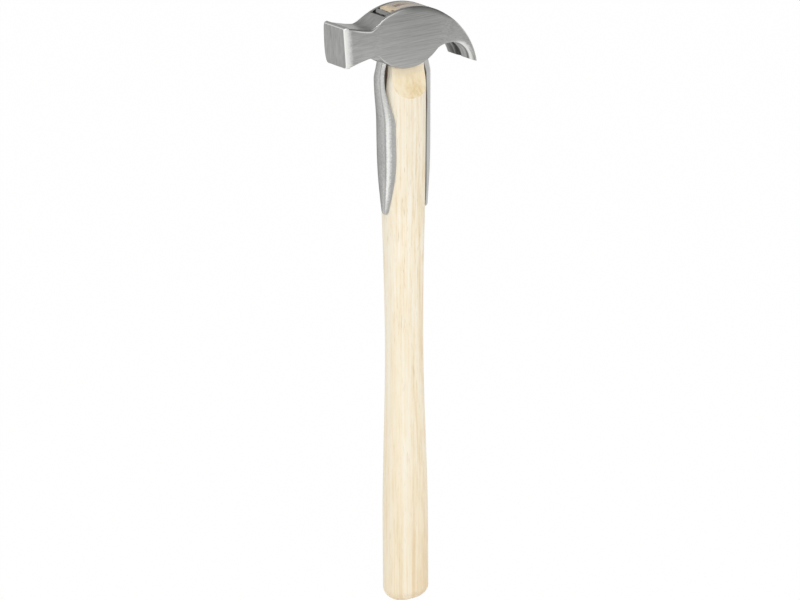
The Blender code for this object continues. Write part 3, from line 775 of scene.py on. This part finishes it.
def strap_thickness(spring, height):
    tang = ease((height - LOBE_HEIGHT) / TANG_START_RISE)
    blade = mix(STRAP_TIP_THICKNESS, STRAP_THICKNESS, strap_blade(height))
    fill = mix(spring.blade_fill, spring.bow_fill, strap_lift(height))
    return mix(blade + fill, TANG_THICKNESS, tang)


def strap_inner(spring, height, y):
    """How far from the axis the strap's inner face lies: on the wood below, straight up the eye above."""
    half_depth, half_breadth = oval_half(height)
    curved = (1 - abs(y / half_breadth) ** OVAL_SQUARENESS) ** (1 / OVAL_SQUARENESS)
    bow = oval_half(STRAP_BOW_HEIGHT)[0] + SEAT_GAP + STRAP_BOW - spring.hollow * half_depth * (1 - curved)
    if height > STRAP_BOW_HEIGHT:
        enter = ease((height - STRAP_BOW_HEIGHT) / (TANG_HEIGHT - STRAP_BOW_HEIGHT))
        return mix(bow + STRAP_THICKNESS, TANG_OUTER, enter) - strap_thickness(spring, height)
    on_wood = half_depth * curved + SEAT_GAP + spring.tip_stand_off * (1 - strap_blade(height))
    return mix(on_wood, bow - spring.bow_fill, strap_lift(height))


def strap_ring(spring, height, rounding=0.0):
    """The strap's section: an inner face on the wood, two flanks, two bevels and a slightly crowned face.

    Rounding goes from 0 on the blade to 1 at the very tip, where the section draws in.
    """
    foot = strap_width(height) / 2 - STRAP_TIP_SIDE_ROUND * rounding
    half = foot - min(STRAP_FLANK_SPREAD * (1 - strap_lift(height)), STRAP_FLANK_SHARE * foot)
    flat = half - min(STRAP_BEVEL_ACROSS, STRAP_BEVEL_SHARE * half)
    inner = strap_inner(spring, height, foot)
    outer = strap_inner(spring, height, 0.0) + strap_thickness(spring, height) - STRAP_CROWN
    outer -= STRAP_TIP_ROUND * rounding
    depth = STRAP_BEVEL_DEPTH * mix(STRAP_TIP_BEVEL_SHARE, 1.0, strap_blade(height))
    edge = max(outer - depth, inner + STRAP_EDGE_THICKNESS)
    reach = min(STRAP_EDGE_ROUND, EDGE_SHARE * (edge - inner), EDGE_SHARE * flat)
    outline = [(inner, foot), (edge, half), (outer, flat), (outer, -flat), (edge, -half), (inner, -foot)]
    reaches = [(0.0, 0.0), *[(reach, reach)] * 4, (0.0, 0.0)]
    corners = rounded([Vector(corner) for corner in outline], reaches, STRAP_CORNER_STEPS)
    per_corner = STRAP_CORNER_STEPS + 1
    across = [mix(-foot, foot, share) for share in shares(STRAP_INNER_STEPS)]
    places = [(strap_inner(spring, height, y), y) for y in across]
    places += corners[per_corner : 3 * per_corner]
    for share in STRAP_FACE_SHARES:
        y = mix(flat, -flat, share)
        places.append((outer + STRAP_CROWN * (1 - (y / flat) ** 2), y))
    places += corners[3 * per_corner : 5 * per_corner]
    return [Vector((spring.side * x, y, height)) for x, y in places]


def strap_marks():
    """Places round the section: 1 and 5 where flank meets bevel, 2 and 4 where bevel meets face."""
    soft = [mix(-STRAP_CORNER_MARK, STRAP_CORNER_MARK, share) for share in shares(STRAP_CORNER_STEPS)]
    marks = [mix(6.0, 0.0, share) for share in shares(STRAP_INNER_STEPS)]
    marks += [corner + step for corner in (1.0, 2.0) for step in soft]
    marks += [mix(2.0, 4.0, share) for share in STRAP_FACE_SHARES]
    marks += [corner + step for corner in (4.0, 5.0) for step in soft]
    return marks


def strap_rings(spring):
    rings = []
    for along, drawn_in in quarter_round(2 * CORNER_STEPS):
        rings.append(strap_ring(spring, STRAP_TIP_HEIGHT + STRAP_TIP_SIDE_ROUND * along, drawn_in))
    stages = [STRAP_TIP_HEIGHT + STRAP_TIP_SIDE_ROUND, STRAP_WIDEST_HEIGHT, STRAP_BOW_HEIGHT, TANG_HEIGHT]
    tang = [TANG_HEIGHT, HAMMER_LENGTH, HAMMER_LENGTH + CUT_MARGIN / 2]
    return rings + [strap_ring(spring, height) for height in stage_heights(stages, STRAP_STEPS) + tang]


def strap_paint(row, side):
    return INNER_FACE if side < STRAP_INNER_STEPS else SPRING_STEEL


def build_strap(name, node, spring, materials):
    strap = loft(name, strap_rings(spring), materials, strap_paint, strap_marks())
    subtract(strap, crown_trim(INNER_FACE))
    seat(strap, node)


# Wedge, of one material

WEDGE_WOOD = 0


def build_wedge(materials):
    half_depth = (WEDGE_REAR_REACH + WEDGE_FRONT_REACH) / 2
    top = HAMMER_LENGTH + CUT_MARGIN / 2
    top_thickness = mix(WEDGE_TOE_THICKNESS, WEDGE_THICKNESS, 1 + CUT_MARGIN / 2 / WEDGE_LENGTH)
    low = (half_depth, WEDGE_TOE_THICKNESS / 2, HAMMER_LENGTH - WEDGE_LENGTH)
    high = (half_depth, top_thickness / 2, top)
    middle = (WEDGE_REAR_REACH - WEDGE_FRONT_REACH) / 2
    wedge = tapered_box("beech_wedge", low, high, WEDGE_WOOD, middle=middle, materials=materials)
    subtract(wedge, crown_trim(WEDGE_WOOD))
    seat(wedge, "wedge")


# Materials


class Nodes:
    """A node tree, with short names for the nodes that the materials and the studio are built from."""

    def __init__(self, tree):
        self.tree = tree

    def put(self, inputs, sockets):
        """Sets each socket, or links it to the node that its value comes from."""
        for key, value in inputs.items():
            if isinstance(value, bpy.types.NodeSocket):
                self.tree.links.new(value, sockets[key])
            else:
                sockets[key].default_value = value

    def node(self, kind, inputs, output=0, **settings):
        made = self.tree.nodes.new(kind)
        for name, value in settings.items():
            setattr(made, name, value)
        self.put(inputs, made.inputs)
        return made.outputs[output]

    def range(self, value, low, high, to_low=0.0, to_high=1.0):
        """Goes from one level to another while the value goes from low to high, and no further."""
        inputs = {"Value": value, "From Min": low, "From Max": high, "To Min": to_low, "To Max": to_high}
        return self.node("ShaderNodeMapRange", inputs, "Result", clamp=True)

    def joined(self, operation, values):
        total = values[0]
        for value in values[1:]:
            total = self.node("ShaderNodeMath", {0: total, 1: value}, operation=operation)
        return total

    def sum(self, *values):
        """Adds values, of which a pair is a value and its weight."""
        return self.joined("ADD", [self.times(*v) if isinstance(v, tuple) else v for v in values])

    def times(self, *values):
        return self.joined("MULTIPLY", values)

    def seen_directly(self):
        """1 for rays from the camera and for those that metal or glass sends out, 0 for light."""
        path = self.tree.nodes.new("ShaderNodeLightPath").outputs
        seen = self.sum(path["Is Camera Ray"], path["Is Glossy Ray"], path["Is Transmission Ray"])
        return self.range(seen, 0.0, 1.0)


class Shader(Nodes):
    """A material's nodes, which paint by the place on the hammer."""

    def __init__(self, name):
        self.material = bpy.data.materials.new(name)
        self.material.use_nodes = True
        super().__init__(self.material.node_tree)
        self.place = self.node("ShaderNodeTexCoord", {}, "Object")

    def noise(self, scale, detail=3.0, roughness=0.55):
        """Noise that is the finer along an axis the larger its scale is."""
        place = self.node("ShaderNodeMapping", {"Vector": self.place, "Scale": scale})
        inputs = {"Vector": place, "Scale": 1.0, "Detail": detail, "Roughness": roughness}
        return self.node("ShaderNodeTexNoise", inputs, "Fac")

    def axis(self, name):
        return self.node("ShaderNodeSeparateXYZ", {"Vector": self.place}, name)

    def ramp(self, name, low, high, to_low=0.0, to_high=1.0):
        """Goes from one level to another between two places along an axis."""
        return self.range(self.axis(name), low, high, to_low, to_high)

    def band(self, name, middle, near, far, level=1.0):
        """A level round a middle along an axis, which fades to 0 between two distances from it."""
        return self.range(self.off(self.axis(name), middle), near, far, level, 0.0)

    def along(self, direction):
        inputs = {0: self.place, 1: direction}
        return self.node("ShaderNodeVectorMath", inputs, "Value", operation="DOT_PRODUCT")

    def round_the_ring(self):
        marks = self.node("ShaderNodeUVMap", {}, uv_map="round_the_ring")
        return self.node("ShaderNodeSeparateXYZ", {"Vector": marks}, "X")

    def off(self, value, middle):
        """How far a value lies from a middle, either way."""
        shift = self.node("ShaderNodeMath", {0: value, 1: middle}, operation="SUBTRACT")
        return self.node("ShaderNodeMath", {0: shift}, operation="ABSOLUTE")

    def colours(self, value, *stops):
        made = self.tree.nodes.new("ShaderNodeValToRGB")
        self.put({"Fac": value}, made.inputs)
        ramp = made.color_ramp
        while len(ramp.elements) < len(stops):
            ramp.elements.new(0.5)
        for element, (position, colour) in zip(ramp.elements, stops):
            element.position = position
            element.color = (*colour, 1.0)
        return made.outputs["Color"]

    def blend(self, share, first, second):
        """The first colour where the share is 0, the second where it is 1, by the sockets for colours."""
        inputs = {0: share}
        for socket, colour in ((6, first), (7, second)):
            inputs[socket] = colour if isinstance(colour, bpy.types.NodeSocket) else (*colour, 1.0)
        return self.node("ShaderNodeMix", inputs, 2, data_type="RGBA")

    def finish(self, colour, roughness, metallic, grain, bump, depth, specular=0.5):
        """Roughness is one level, or a pair between which it rises with the grain."""
        if isinstance(roughness, tuple):
            roughness = self.range(grain, 0.3, 0.7, *roughness)
        raised = self.node("ShaderNodeBump", {"Strength": bump, "Distance": depth, "Height": grain})
        looks = {"Base Color": colour, "Roughness": roughness, "Metallic": metallic, "Normal": raised}
        looks["Specular IOR Level"] = specular
        self.put(looks, self.tree.nodes["Principled BSDF"].inputs)
        return self.material


def grey(level):
    """Steel grey, a trace warmer than neutral."""
    return (level, level, level * 0.975)


def brushed_steel():
    """Ground steel: fine lines along the head, painted highlights along its edges and on the near claw's
    bevel, painted shade on the far one, and a polished rim at the face with a painted highlight on it.
    """
    steel = Shader("brushed_steel")
    lines = steel.noise((45.0, 1700.0, 1700.0), 4.0, 0.7)
    broad = steel.noise((14.0, 600.0, 600.0), 2.0)
    # Painted light and shade: the sides lighter low down and towards the face, darker up near the crown
    height = steel.ramp("Z", LOBE_HEIGHT, HAMMER_LENGTH - 0.006, 0.19, -0.04)
    front = steel.ramp("X", -0.024, -0.006, 0.07, 0.0)
    tone = steel.sum((lines, 0.8), (broad, 0.2), height, front, -0.03)
    colour = steel.colours(tone, (0.25, grey(0.22)), (0.5, grey(0.335)), (0.8, grey(0.48)))
    specks = steel.noise((900.0, 900.0, 900.0), 3.0, 0.65)
    around = steel.off(steel.round_the_ring(), HEAD_TOP_MARK)
    colour = crown_edges(steel, colour, around)
    colour = claw_bevel(steel, colour, around, specks)
    colour = face_rim(steel, colour, around, specks)
    return steel.finish(colour, (0.31, 0.41), 1.0, lines, 0.25, 0.00005)


def crown_edges(steel, colour, around):
    """Painted highlights as thin bright lines along the edges, and painted shade as a dark line where the
    crown's side turns over behind them.
    """
    x = steel.axis("X")
    # Each bright line is a painted highlight
    for upper, lower, start, end in BRIGHT_LINES:
        line = steel.times(
            steel.range(around, upper - LINE_EDGE, upper + LINE_EDGE),
            steel.range(around, lower - LINE_EDGE, lower + LINE_EDGE, 1.0, 0.0),
            steel.range(x, start - LINE_START_FADE, start + LINE_START_FADE),
            steel.range(x, end - LINE_END_FADE, end + LINE_END_FADE, 1.0, 0.0),
        )
        colour = steel.blend(line, colour, grey(0.68))
    # Painted shade: a dark line where the crown's side turns over
    turn = steel.range(around, 1.50, 1.60, 0.85, 0.0)
    behind = steel.band("X", CROWN_TURN, *CROWN_TURN_FADE)
    return steel.blend(steel.times(turn, behind), colour, grey(0.12))


def claw_bevel(steel, colour, around, specks):
    """The claws' bevels: a painted highlight, brighter inwards, on the near claw, painted shade on the far
    one, then a dark inner line of painted shade.
    """
    on_claw = steel.ramp("X", *CLAW_BEVEL_START)
    # Painted highlight on the near claw's bevel, brighter inwards; painted shade on the far claw's bevel
    bright = steel.ramp("X", *CLAW_BEVEL_BRIGHT, 0.15, 1.0)
    far = steel.ramp("Y", *NEAR_TO_FAR)
    tip = steel.ramp("X", *CLAW_TIP_FADE, -0.15, -0.42)
    ragged = steel.sum(around, (specks, 0.3), tip)
    bevel = steel.times(steel.range(ragged, 2.40, 2.84), bright, on_claw)
    colour = steel.blend(bevel, colour, steel.blend(far, grey(0.82), grey(0.20)))
    # Painted shade: a dark line along the bevel's inner edge
    inner = steel.times(steel.range(around, 3.25, 3.38, 0.0, 0.9), on_claw)
    return steel.blend(inner, colour, grey(0.10))


def face_rim(steel, colour, around, specks):
    """A white line round the striking face, which is a painted highlight, and a speckled polished band that
    fades out behind it, partly real polishing and partly painted highlight.
    """
    inward = (cos(FACE_TILT), 0.0, sin(FACE_TILT))
    face = HAMMER_LENGTH - FACE_DROP
    behind = steel.sum(steel.along(inward), FACE_REACH * inward[0] - face * inward[2])
    fade = steel.range(behind, *FACE_POLISH_FADE, 0.95, -0.25)
    # Partly real polishing and partly a painted highlight on the face's rounding
    polish_and_highlight = steel.range(steel.sum(fade, (specks, 0.7), -0.35), 0.0, 0.8)
    down_the_side = steel.range(around, 1.0, 1.6, 0.35, 1.0)
    colour = steel.blend(steel.times(polish_and_highlight, down_the_side), colour, grey(0.82))
    # Painted highlight: a white line along the face's rim
    line = steel.range(behind, *FACE_LINE_EDGE, 1.0, 0.0)
    line = steel.times(line, steel.range(around, 1.0, 1.6, 0.6, 1.0))
    return steel.blend(line, colour, grey(0.90))


def crown_steel():
    """The top of the head, coarser ground along its length, with painted shade as a dark seam in front of the
    eye and where the top sinks at the neck.
    """
    steel = Shader("crown_steel")
    lines = steel.noise((160.0, 1500.0, 160.0), 3.0, 0.65)
    broad = steel.noise((60.0, 260.0, 60.0), 2.0)
    # Painted shade where the top sinks at the neck
    foot = steel.band("X", -NECK_REACH, 0.0, 0.007, -0.10)
    near_face = steel.ramp("X", -0.045, -0.034, 0.05, -0.02)
    tone = steel.sum((lines, 0.7), (broad, 0.4), foot, near_face, -0.05)
    colour = steel.colours(tone, (0.25, grey(0.25)), (0.5, grey(0.38)), (0.8, grey(0.52)))
    # Painted shade in the gap between the front tang and the eye's wall
    seam = steel.times(
        steel.band("X", CROWN_SEAM, *CROWN_SEAM_EDGE, 0.95),
        steel.band("Y", 0.0, *CROWN_SEAM_ENDS),
        steel.ramp("Z", *CROWN_SEAM_FLOOR),
    )
    colour = steel.blend(seam, colour, grey(0.02))
    return steel.finish(colour, (0.32, 0.44), 1.0, lines, 0.25, 0.00006)


def face_steel():
    """The striking face, ground up and down."""
    steel = Shader("face_steel")
    lines = steel.noise((2200.0, 2200.0, 90.0), 3.0, 0.65)
    broad = steel.noise((200.0, 200.0, 60.0), 2.0)
    tone = steel.sum((lines, 0.9), (broad, 0.4), -0.15)
    colour = steel.colours(tone, (0.25, grey(0.20)), (0.5, grey(0.345)), (0.8, grey(0.50)))
    return steel.finish(colour, (0.32, 0.42), 1.0, lines, 0.25, 0.00005)


def inner_steel():
    """Walls of the eye and of the nail slot, left as they were cut, and painted near-black as the shade
    inside them.
    """
    steel = Shader("inner_steel")
    grain = steel.noise((900.0, 900.0, 300.0), 4.0)
    # Painted near-black, as the shade inside the eye and the slot
    colour = steel.colours(grain, (0.3, grey(0.05)), (0.7, grey(0.12)))
    return steel.finish(colour, 0.55, 1.0, grain, 0.3, 0.0001)


def throat_steel():
    """The hollow under the claw, darker than the sides and streaked: painted light on the near claw, painted
    shade on the far one, and one light streak there that is a painted highlight.
    """
    steel = Shader("throat_steel")
    streaks = steel.noise((60.0, 520.0, 60.0), 3.0, 0.6)
    fine = steel.noise((200.0, 2600.0, 200.0), 3.0)
    # Painted light on the near claw, painted shade on the far one
    far = steel.ramp("Y", -0.003, 0.001, 0.19, -0.09)
    # Painted highlight: one light streak under the far claw
    streak = steel.band("Y", HOLLOW_HIGHLIGHT, *STREAK_EDGE, 0.20)
    tone = steel.sum((streaks, 0.6), (fine, 0.25), far, streak, 0.04)
    colour = steel.colours(tone, (0.36, grey(0.06)), (0.5, grey(0.16)), (0.66, grey(0.37)))
    return steel.finish(colour, 0.38, 1.0, fine, 0.3, 0.00008)


def strap_steel():
    """Spring steel: a satin face with painted light and shade across it, ground bevels with ragged edges and
    a painted highlight on them, dull flanks, and painted shade as a dark seam along the wood on the rear
    spring.
    """
    steel = Shader("strap_steel")
    across = steel.round_the_ring()
    grain = steel.noise((1100.0, 1100.0, 900.0), 4.0, 0.75)
    broad = steel.noise((160.0, 160.0, 60.0), 2.0)
    ragged = steel.noise((800.0, 800.0, 1100.0), 3.0, 0.65)
    # Painted light and shade across the face: darker towards one edge, lighter towards the other
    painted_shading_across = steel.range(across, 2.0, 3.8, -0.13, 0.18)
    tone = steel.sum((grain, 0.75), (broad, 0.25), painted_shading_across)
    face = steel.colours(tone, (0.25, grey(0.21)), (0.5, grey(0.40)), (0.75, grey(0.63)))
    from_middle = steel.off(across, STRAP_FACE_MARK)
    out = steel.sum(from_middle, (ragged, 0.2), -0.10)
    far_out = steel.sum(from_middle, (ragged, 0.7), -0.35)
    # Painted shade: a darker line where the face meets the bevel
    edge_shade = steel.range(steel.off(out, 0.88), 0.05, 0.25, 0.45, 0.0)
    face = steel.blend(edge_shade, face, grey(0.24))
    # Painted light and shade: flanks darker on the front strap and lighter on the rear one; the same ramp
    # keeps the seam's painted shade to the rear strap
    behind = steel.ramp("X", -0.005, 0.005, -0.10, 0.14)
    flank = steel.colours(steel.sum(tone, behind), (0.3, grey(0.28)), (0.8, grey(0.54)))
    # Painted highlight on the bevels, dimmer towards the top and towards the tip
    bevel = steel.colours(grain, (0.3, grey(0.76)), (0.6, grey(0.95)))
    bow = steel.ramp("Z", *STRAP_BRIGHT_TOP, 1.0, 0.50)
    tip = steel.ramp("Z", *STRAP_BRIGHT_TIP, 0.3, 1.0)
    inside = steel.range(out, 1.00, 1.12)
    outside = steel.range(far_out, 1.65, 2.15, 1.0, 0.0)
    colour = steel.blend(inside, face, flank)
    colour = steel.blend(steel.times(inside, outside, bow, tip), colour, bevel)
    # Painted shade along the rear strap's seam with the wood
    seam = steel.times(
        steel.range(from_middle, 2.76, 2.88, 0.0, 0.75),
        steel.range(behind, 0.0, 0.10),
        steel.ramp("Z", *REAR_SEAM_FOOT),
        steel.ramp("Z", *REAR_SEAM_TOP, 1.0, 0.0),
    )
    colour = steel.blend(seam, colour, (0.13, 0.10, 0.07))
    return steel.finish(colour, (0.34, 0.48), 1.0, grain, 0.35, 0.0001)


def ash_wood():
    """Pale ash with its grain up the handle, livelier towards the head; painted shade behind the front strap,
    painted light beside it, and a painted highlight and painted shading down the handle.
    """
    wood = Shader("ash_wood")
    height = wood.axis("Z")
    fine = wood.noise((1400.0, 1400.0, 16.0), 4.0, 0.65)
    streaks = wood.noise((480.0, 480.0, 11.0), 3.0, 0.55)
    bands = wood.noise((150.0, 150.0, 8.0), 2.0, 0.5)
    mottle = wood.noise((420.0, 420.0, 75.0), 3.0, 0.6)
    pores = wood.noise((1600.0, 1600.0, 130.0), 1.0)
    across = wood.along((0.81, -0.585, 0.0))
    lively = wood.range(wood.sum(height, (across, 4.0)), 0.08, 0.26, 0.70, 1.5)
    grain = wood.sum((fine, 0.50), (streaks, 0.40), (bands, 0.26))
    grain = wood.sum(grain, (mottle, 0.30), -0.73)
    # Painted light and shade: lighter towards the handle's front, darker towards its rear
    side = wood.range(across, -0.014, 0.014, 0.03, -0.035)
    level = wood.range(height, 0.0, 0.20, -0.105, 0.0)
    upper = wood.range(height, 0.22, 0.28, 0.0, 0.40)
    low = wood.range(height, 0.10, 0.19, 1.0, 0.0)
    # Painted highlight: a pale band down the near-front of the lower handle
    pale = wood.times(wood.range(wood.off(across, 0.0014), 0.0020, 0.0036, 0.09, 0.0), low)
    tone = wood.sum(wood.times(grain, lively), side, level, pale, 0.52)
    colour = wood.colours(
        tone,
        (0.32, (0.80, 0.64, 0.42)),
        (0.45, (0.895, 0.78, 0.575)),
        (0.56, (0.925, 0.845, 0.685)),
        (0.72, (0.945, 0.895, 0.78)),
    )
    colour = wood.blend(upper, colour, (0.83, 0.765, 0.635))
    # Painted light on the front of the wood beside the front strap
    strip = wood.times(
        wood.ramp("X", *PALE_STRIP_FRONT, 1.0, 0.0),
        wood.ramp("Z", *PALE_STRIP_FOOT, 0.0, 0.8),
    )
    colour = wood.blend(strip, colour, (0.97, 0.90, 0.74))
    flecks = wood.times(wood.range(pores, 0.63, 0.74, 0.0, 0.34), lively)
    colour = wood.blend(flecks, colour, (0.52, 0.40, 0.26))
    colour = tan_streak(wood, colour, across, streaks)
    # Painted shade on the wood behind the front strap
    gap_shade = wood.times(
        wood.band("Y", 0.0, *GAP_SHADE_SIDES),
        wood.ramp("X", *GAP_SHADE_FRONT, 1.0, 0.0),
        wood.ramp("Z", *GAP_SHADE_FOOT, 0.0, 0.97),
    )
    colour = wood.blend(gap_shade, colour, (0.15, 0.10, 0.055))
    rough = wood.range(streaks, 0.3, 0.7, 0.52, 0.42)
    return wood.finish(colour, rough, 0.0, fine, 0.12, 0.0001, 0.35)


def tan_streak(wood, colour, across, streaks):
    """One darker growth ring that comes to the surface near the butt."""
    wander = wood.sum(across, (streaks, 0.0012), -0.0006)
    line = wood.range(wood.off(wander, TAN_STREAK), *STREAK_EDGE, 0.55, 0.0)
    line = wood.times(line, wood.ramp("Z", *TAN_STREAK_TOP, 1.0, 0.0))
    return wood.blend(line, colour, (0.78, 0.58, 0.34))


def scooped_ash():
    """Ash cut across its grain, so that it shows yellower and mottled, and painted light that makes it palest
    right under the head.
    """
    wood = Shader("scooped_ash")
    mottle = wood.noise((360.0, 360.0, 120.0), 4.0, 0.65)
    bands = wood.noise((150.0, 150.0, 30.0), 2.0)
    tone = wood.sum((mottle, 0.6), (bands, 0.4))
    colour = wood.colours(
        tone, (0.36, (0.66, 0.49, 0.255)), (0.50, (0.785, 0.655, 0.425)), (0.62, (0.84, 0.74, 0.54))
    )
    # Painted light: paler right under the head
    under_head = wood.ramp("Z", *PALE_SCOOP, 0.0, 0.75)
    colour = wood.blend(under_head, colour, (0.98, 0.86, 0.65))
    return wood.finish(colour, 0.55, 0.0, mottle, 0.1, 0.0001, 0.3)


def end_grain_ash():
    """The tenon's end, ground flush with the crown: bright in front, greyer behind and towards the far side,
    with painted shade in a small notch at the near front corner.
    """
    wood = Shader("end_grain_ash")
    dots = wood.noise((1300.0, 1300.0, 1300.0), 3.0)
    clouds = wood.noise((220.0, 220.0, 220.0), 2.0)
    back = wood.ramp("X", -0.0085, -0.0055, 0.0, 0.95)
    far = wood.ramp("Y", *NEAR_TO_FAR)
    tone = wood.sum((dots, 0.5), (clouds, 0.5))
    fresh = wood.colours(
        tone, (0.35, (0.42, 0.32, 0.21)), (0.52, (0.55, 0.45, 0.31)), (0.68, (0.66, 0.56, 0.41))
    )
    greyed_tone = wood.blend(far, (0.44, 0.38, 0.325), (0.34, 0.31, 0.275))
    colour = wood.blend(back, fresh, greyed_tone)
    rear = wood.ramp("X", 0.000, 0.009, 0.0, 0.8)
    colour = wood.blend(rear, colour, (0.35, 0.33, 0.305))
    # Painted shade in a small notch at the near front corner, which is not shaped
    notch = wood.band("X", NOTCH, *NOTCH_EDGE)
    notch = wood.times(notch, wood.ramp("Y", *NOTCH_END, 0.95, 0.0))
    colour = wood.blend(notch, colour, (0.05, 0.04, 0.03))
    return wood.finish(colour, 0.6, 0.0, dots, 0.2, 0.0001, 0.3)


def beech_end():
    """The wedge's end: pinkish brown with fine dark rays, greyer towards the claw."""
    wood = Shader("beech_end")
    rays = wood.noise((500.0, 1800.0, 500.0), 3.0)
    brown = wood.colours(rays, (0.35, (0.19, 0.135, 0.106)), (0.6, (0.30, 0.226, 0.187)))
    greyed_tone = wood.colours(rays, (0.35, (0.30, 0.26, 0.22)), (0.6, (0.42, 0.37, 0.32)))
    rear = wood.ramp("X", -0.002, 0.005)
    return wood.finish(wood.blend(rear, brown, greyed_tone), 0.6, 0.0, rays, 0.2, 0.0001, 0.3)


# Studio


def white_floor():
    """A pale floor that shows white to the camera and in the metal, with a trace of shadow left on it."""
    shape = bmesh.new()
    bmesh.ops.create_grid(shape, x_segments=1, y_segments=1, size=FLOOR_REACH)
    material = bpy.data.materials.new("floor_white")
    material.use_nodes = True
    nodes = Nodes(material.node_tree)
    nodes.tree.nodes.remove(nodes.tree.nodes["Principled BSDF"])
    matte = nodes.node("ShaderNodeBsdfDiffuse", {"Color": (FLOOR_LEVEL, FLOOR_LEVEL, FLOOR_LEVEL, 1.0)})
    glow = nodes.node("ShaderNodeEmission", {})
    share = nodes.times(nodes.seen_directly(), FLOOR_GLOW_SHARE)
    surface = nodes.node("ShaderNodeMixShader", {0: share, 1: matte, 2: glow})
    nodes.put({"Surface": surface}, nodes.tree.nodes["Material Output"].inputs)
    floor = piece_from("floor", shape, [material])
    floor.location.z = -FLOOR_DROP


def white_world():
    """White to the camera; for the rest a soft tent, and metal sees it darken overhead to the right."""
    world = bpy.data.worlds.new("studio")
    world.use_nodes = True
    nodes = Nodes(world.node_tree)
    direction = nodes.node("ShaderNodeTexCoord", {}, "Generated")
    right = nodes.node("ShaderNodeSeparateXYZ", {0: direction}, "X")
    up = nodes.node("ShaderNodeSeparateXYZ", {0: direction}, "Z")
    ceiling = nodes.range(right, -0.3, 0.5, TENT_LEFT_LEVEL, TENT_RIGHT_LEVEL)
    tent = nodes.range(up, 0.06, 0.40, 1.0, ceiling)
    in_metal = nodes.node("ShaderNodeLightPath", {}, "Is Glossy Ray")
    shown = nodes.range(in_metal, 0.0, 1.0, 1.0, tent)
    level = nodes.range(nodes.seen_directly(), 0.0, 1.0, WORLD_LEVEL, 1.0)
    backdrop = {"Color": (1.0, 1.0, 1.0, 1.0), "Strength": nodes.times(shown, level)}
    nodes.put(backdrop, nodes.tree.nodes["Background"].inputs)
    bpy.context.scene.world = world


def soft_light(name, place, target, size, power):
    lamp = bpy.data.lights.new(name, "AREA")
    lamp.shape = "DISK"
    lamp.size = size
    lamp.energy = power
    thing = put_in_scene(name, lamp)
    thing.location = place
    thing.rotation_euler = (target - place).to_track_quat("-Z", "Y").to_euler()


def camera_axes():
    """A matrix of the camera's right, up and backward directions."""
    turn = Matrix.Rotation(-CAMERA_TURN, 3, "Z")
    pitch = Matrix.Rotation(pi / 2 - CAMERA_PITCH, 3, "X")
    return turn @ pitch @ Matrix.Rotation(-CAMERA_ROLL, 3, "Z")


def place_camera():
    axes = camera_axes()
    aside = (CAMERA_TARGET_PIXEL - IMAGE_WIDTH / 2) / CAMERA_FOCAL_PIXELS * CAMERA_DISTANCE
    eye = CAMERA_TARGET + axes @ Vector((-aside, 0.0, CAMERA_DISTANCE))
    lens = bpy.data.cameras.new("camera")
    lens.sensor_fit = "HORIZONTAL"
    lens.sensor_width = SENSOR_WIDTH
    lens.lens = CAMERA_FOCAL_PIXELS * SENSOR_WIDTH / IMAGE_WIDTH
    camera = put_in_scene("camera", lens)
    camera.matrix_world = Matrix.Translation(eye) @ axes.to_4x4()
    bpy.context.scene.camera = camera
    return eye


def light_studio(eye):
    key_place = eye + camera_axes() @ Vector((0.0, KEY_RISE, KEY_SETBACK))
    soft_light("key", key_place, CAMERA_TARGET, KEY_SIZE, KEY_POWER)
    soft_light("top", TOP_LAMP_PLACE, TOP_LAMP_TARGET, TOP_LAMP_SIZE, TOP_LAMP_POWER)
    white_world()
    white_floor()
    bpy.context.scene.view_settings.view_transform = "Standard"


sides = brushed_steel()
top = crown_steel()
spring = strap_steel()
build_head([sides, face_steel(), inner_steel(), throat_steel(), top])
build_handle([ash_wood(), scooped_ash(), end_grain_ash()])
build_strap("front_strap_spring", "front_strap", FRONT_SPRING, [spring, top])
build_strap("rear_strap_spring", "rear_strap", REAR_SPRING, [spring, top])
build_wedge([beech_end()])
light_studio(place_camera())
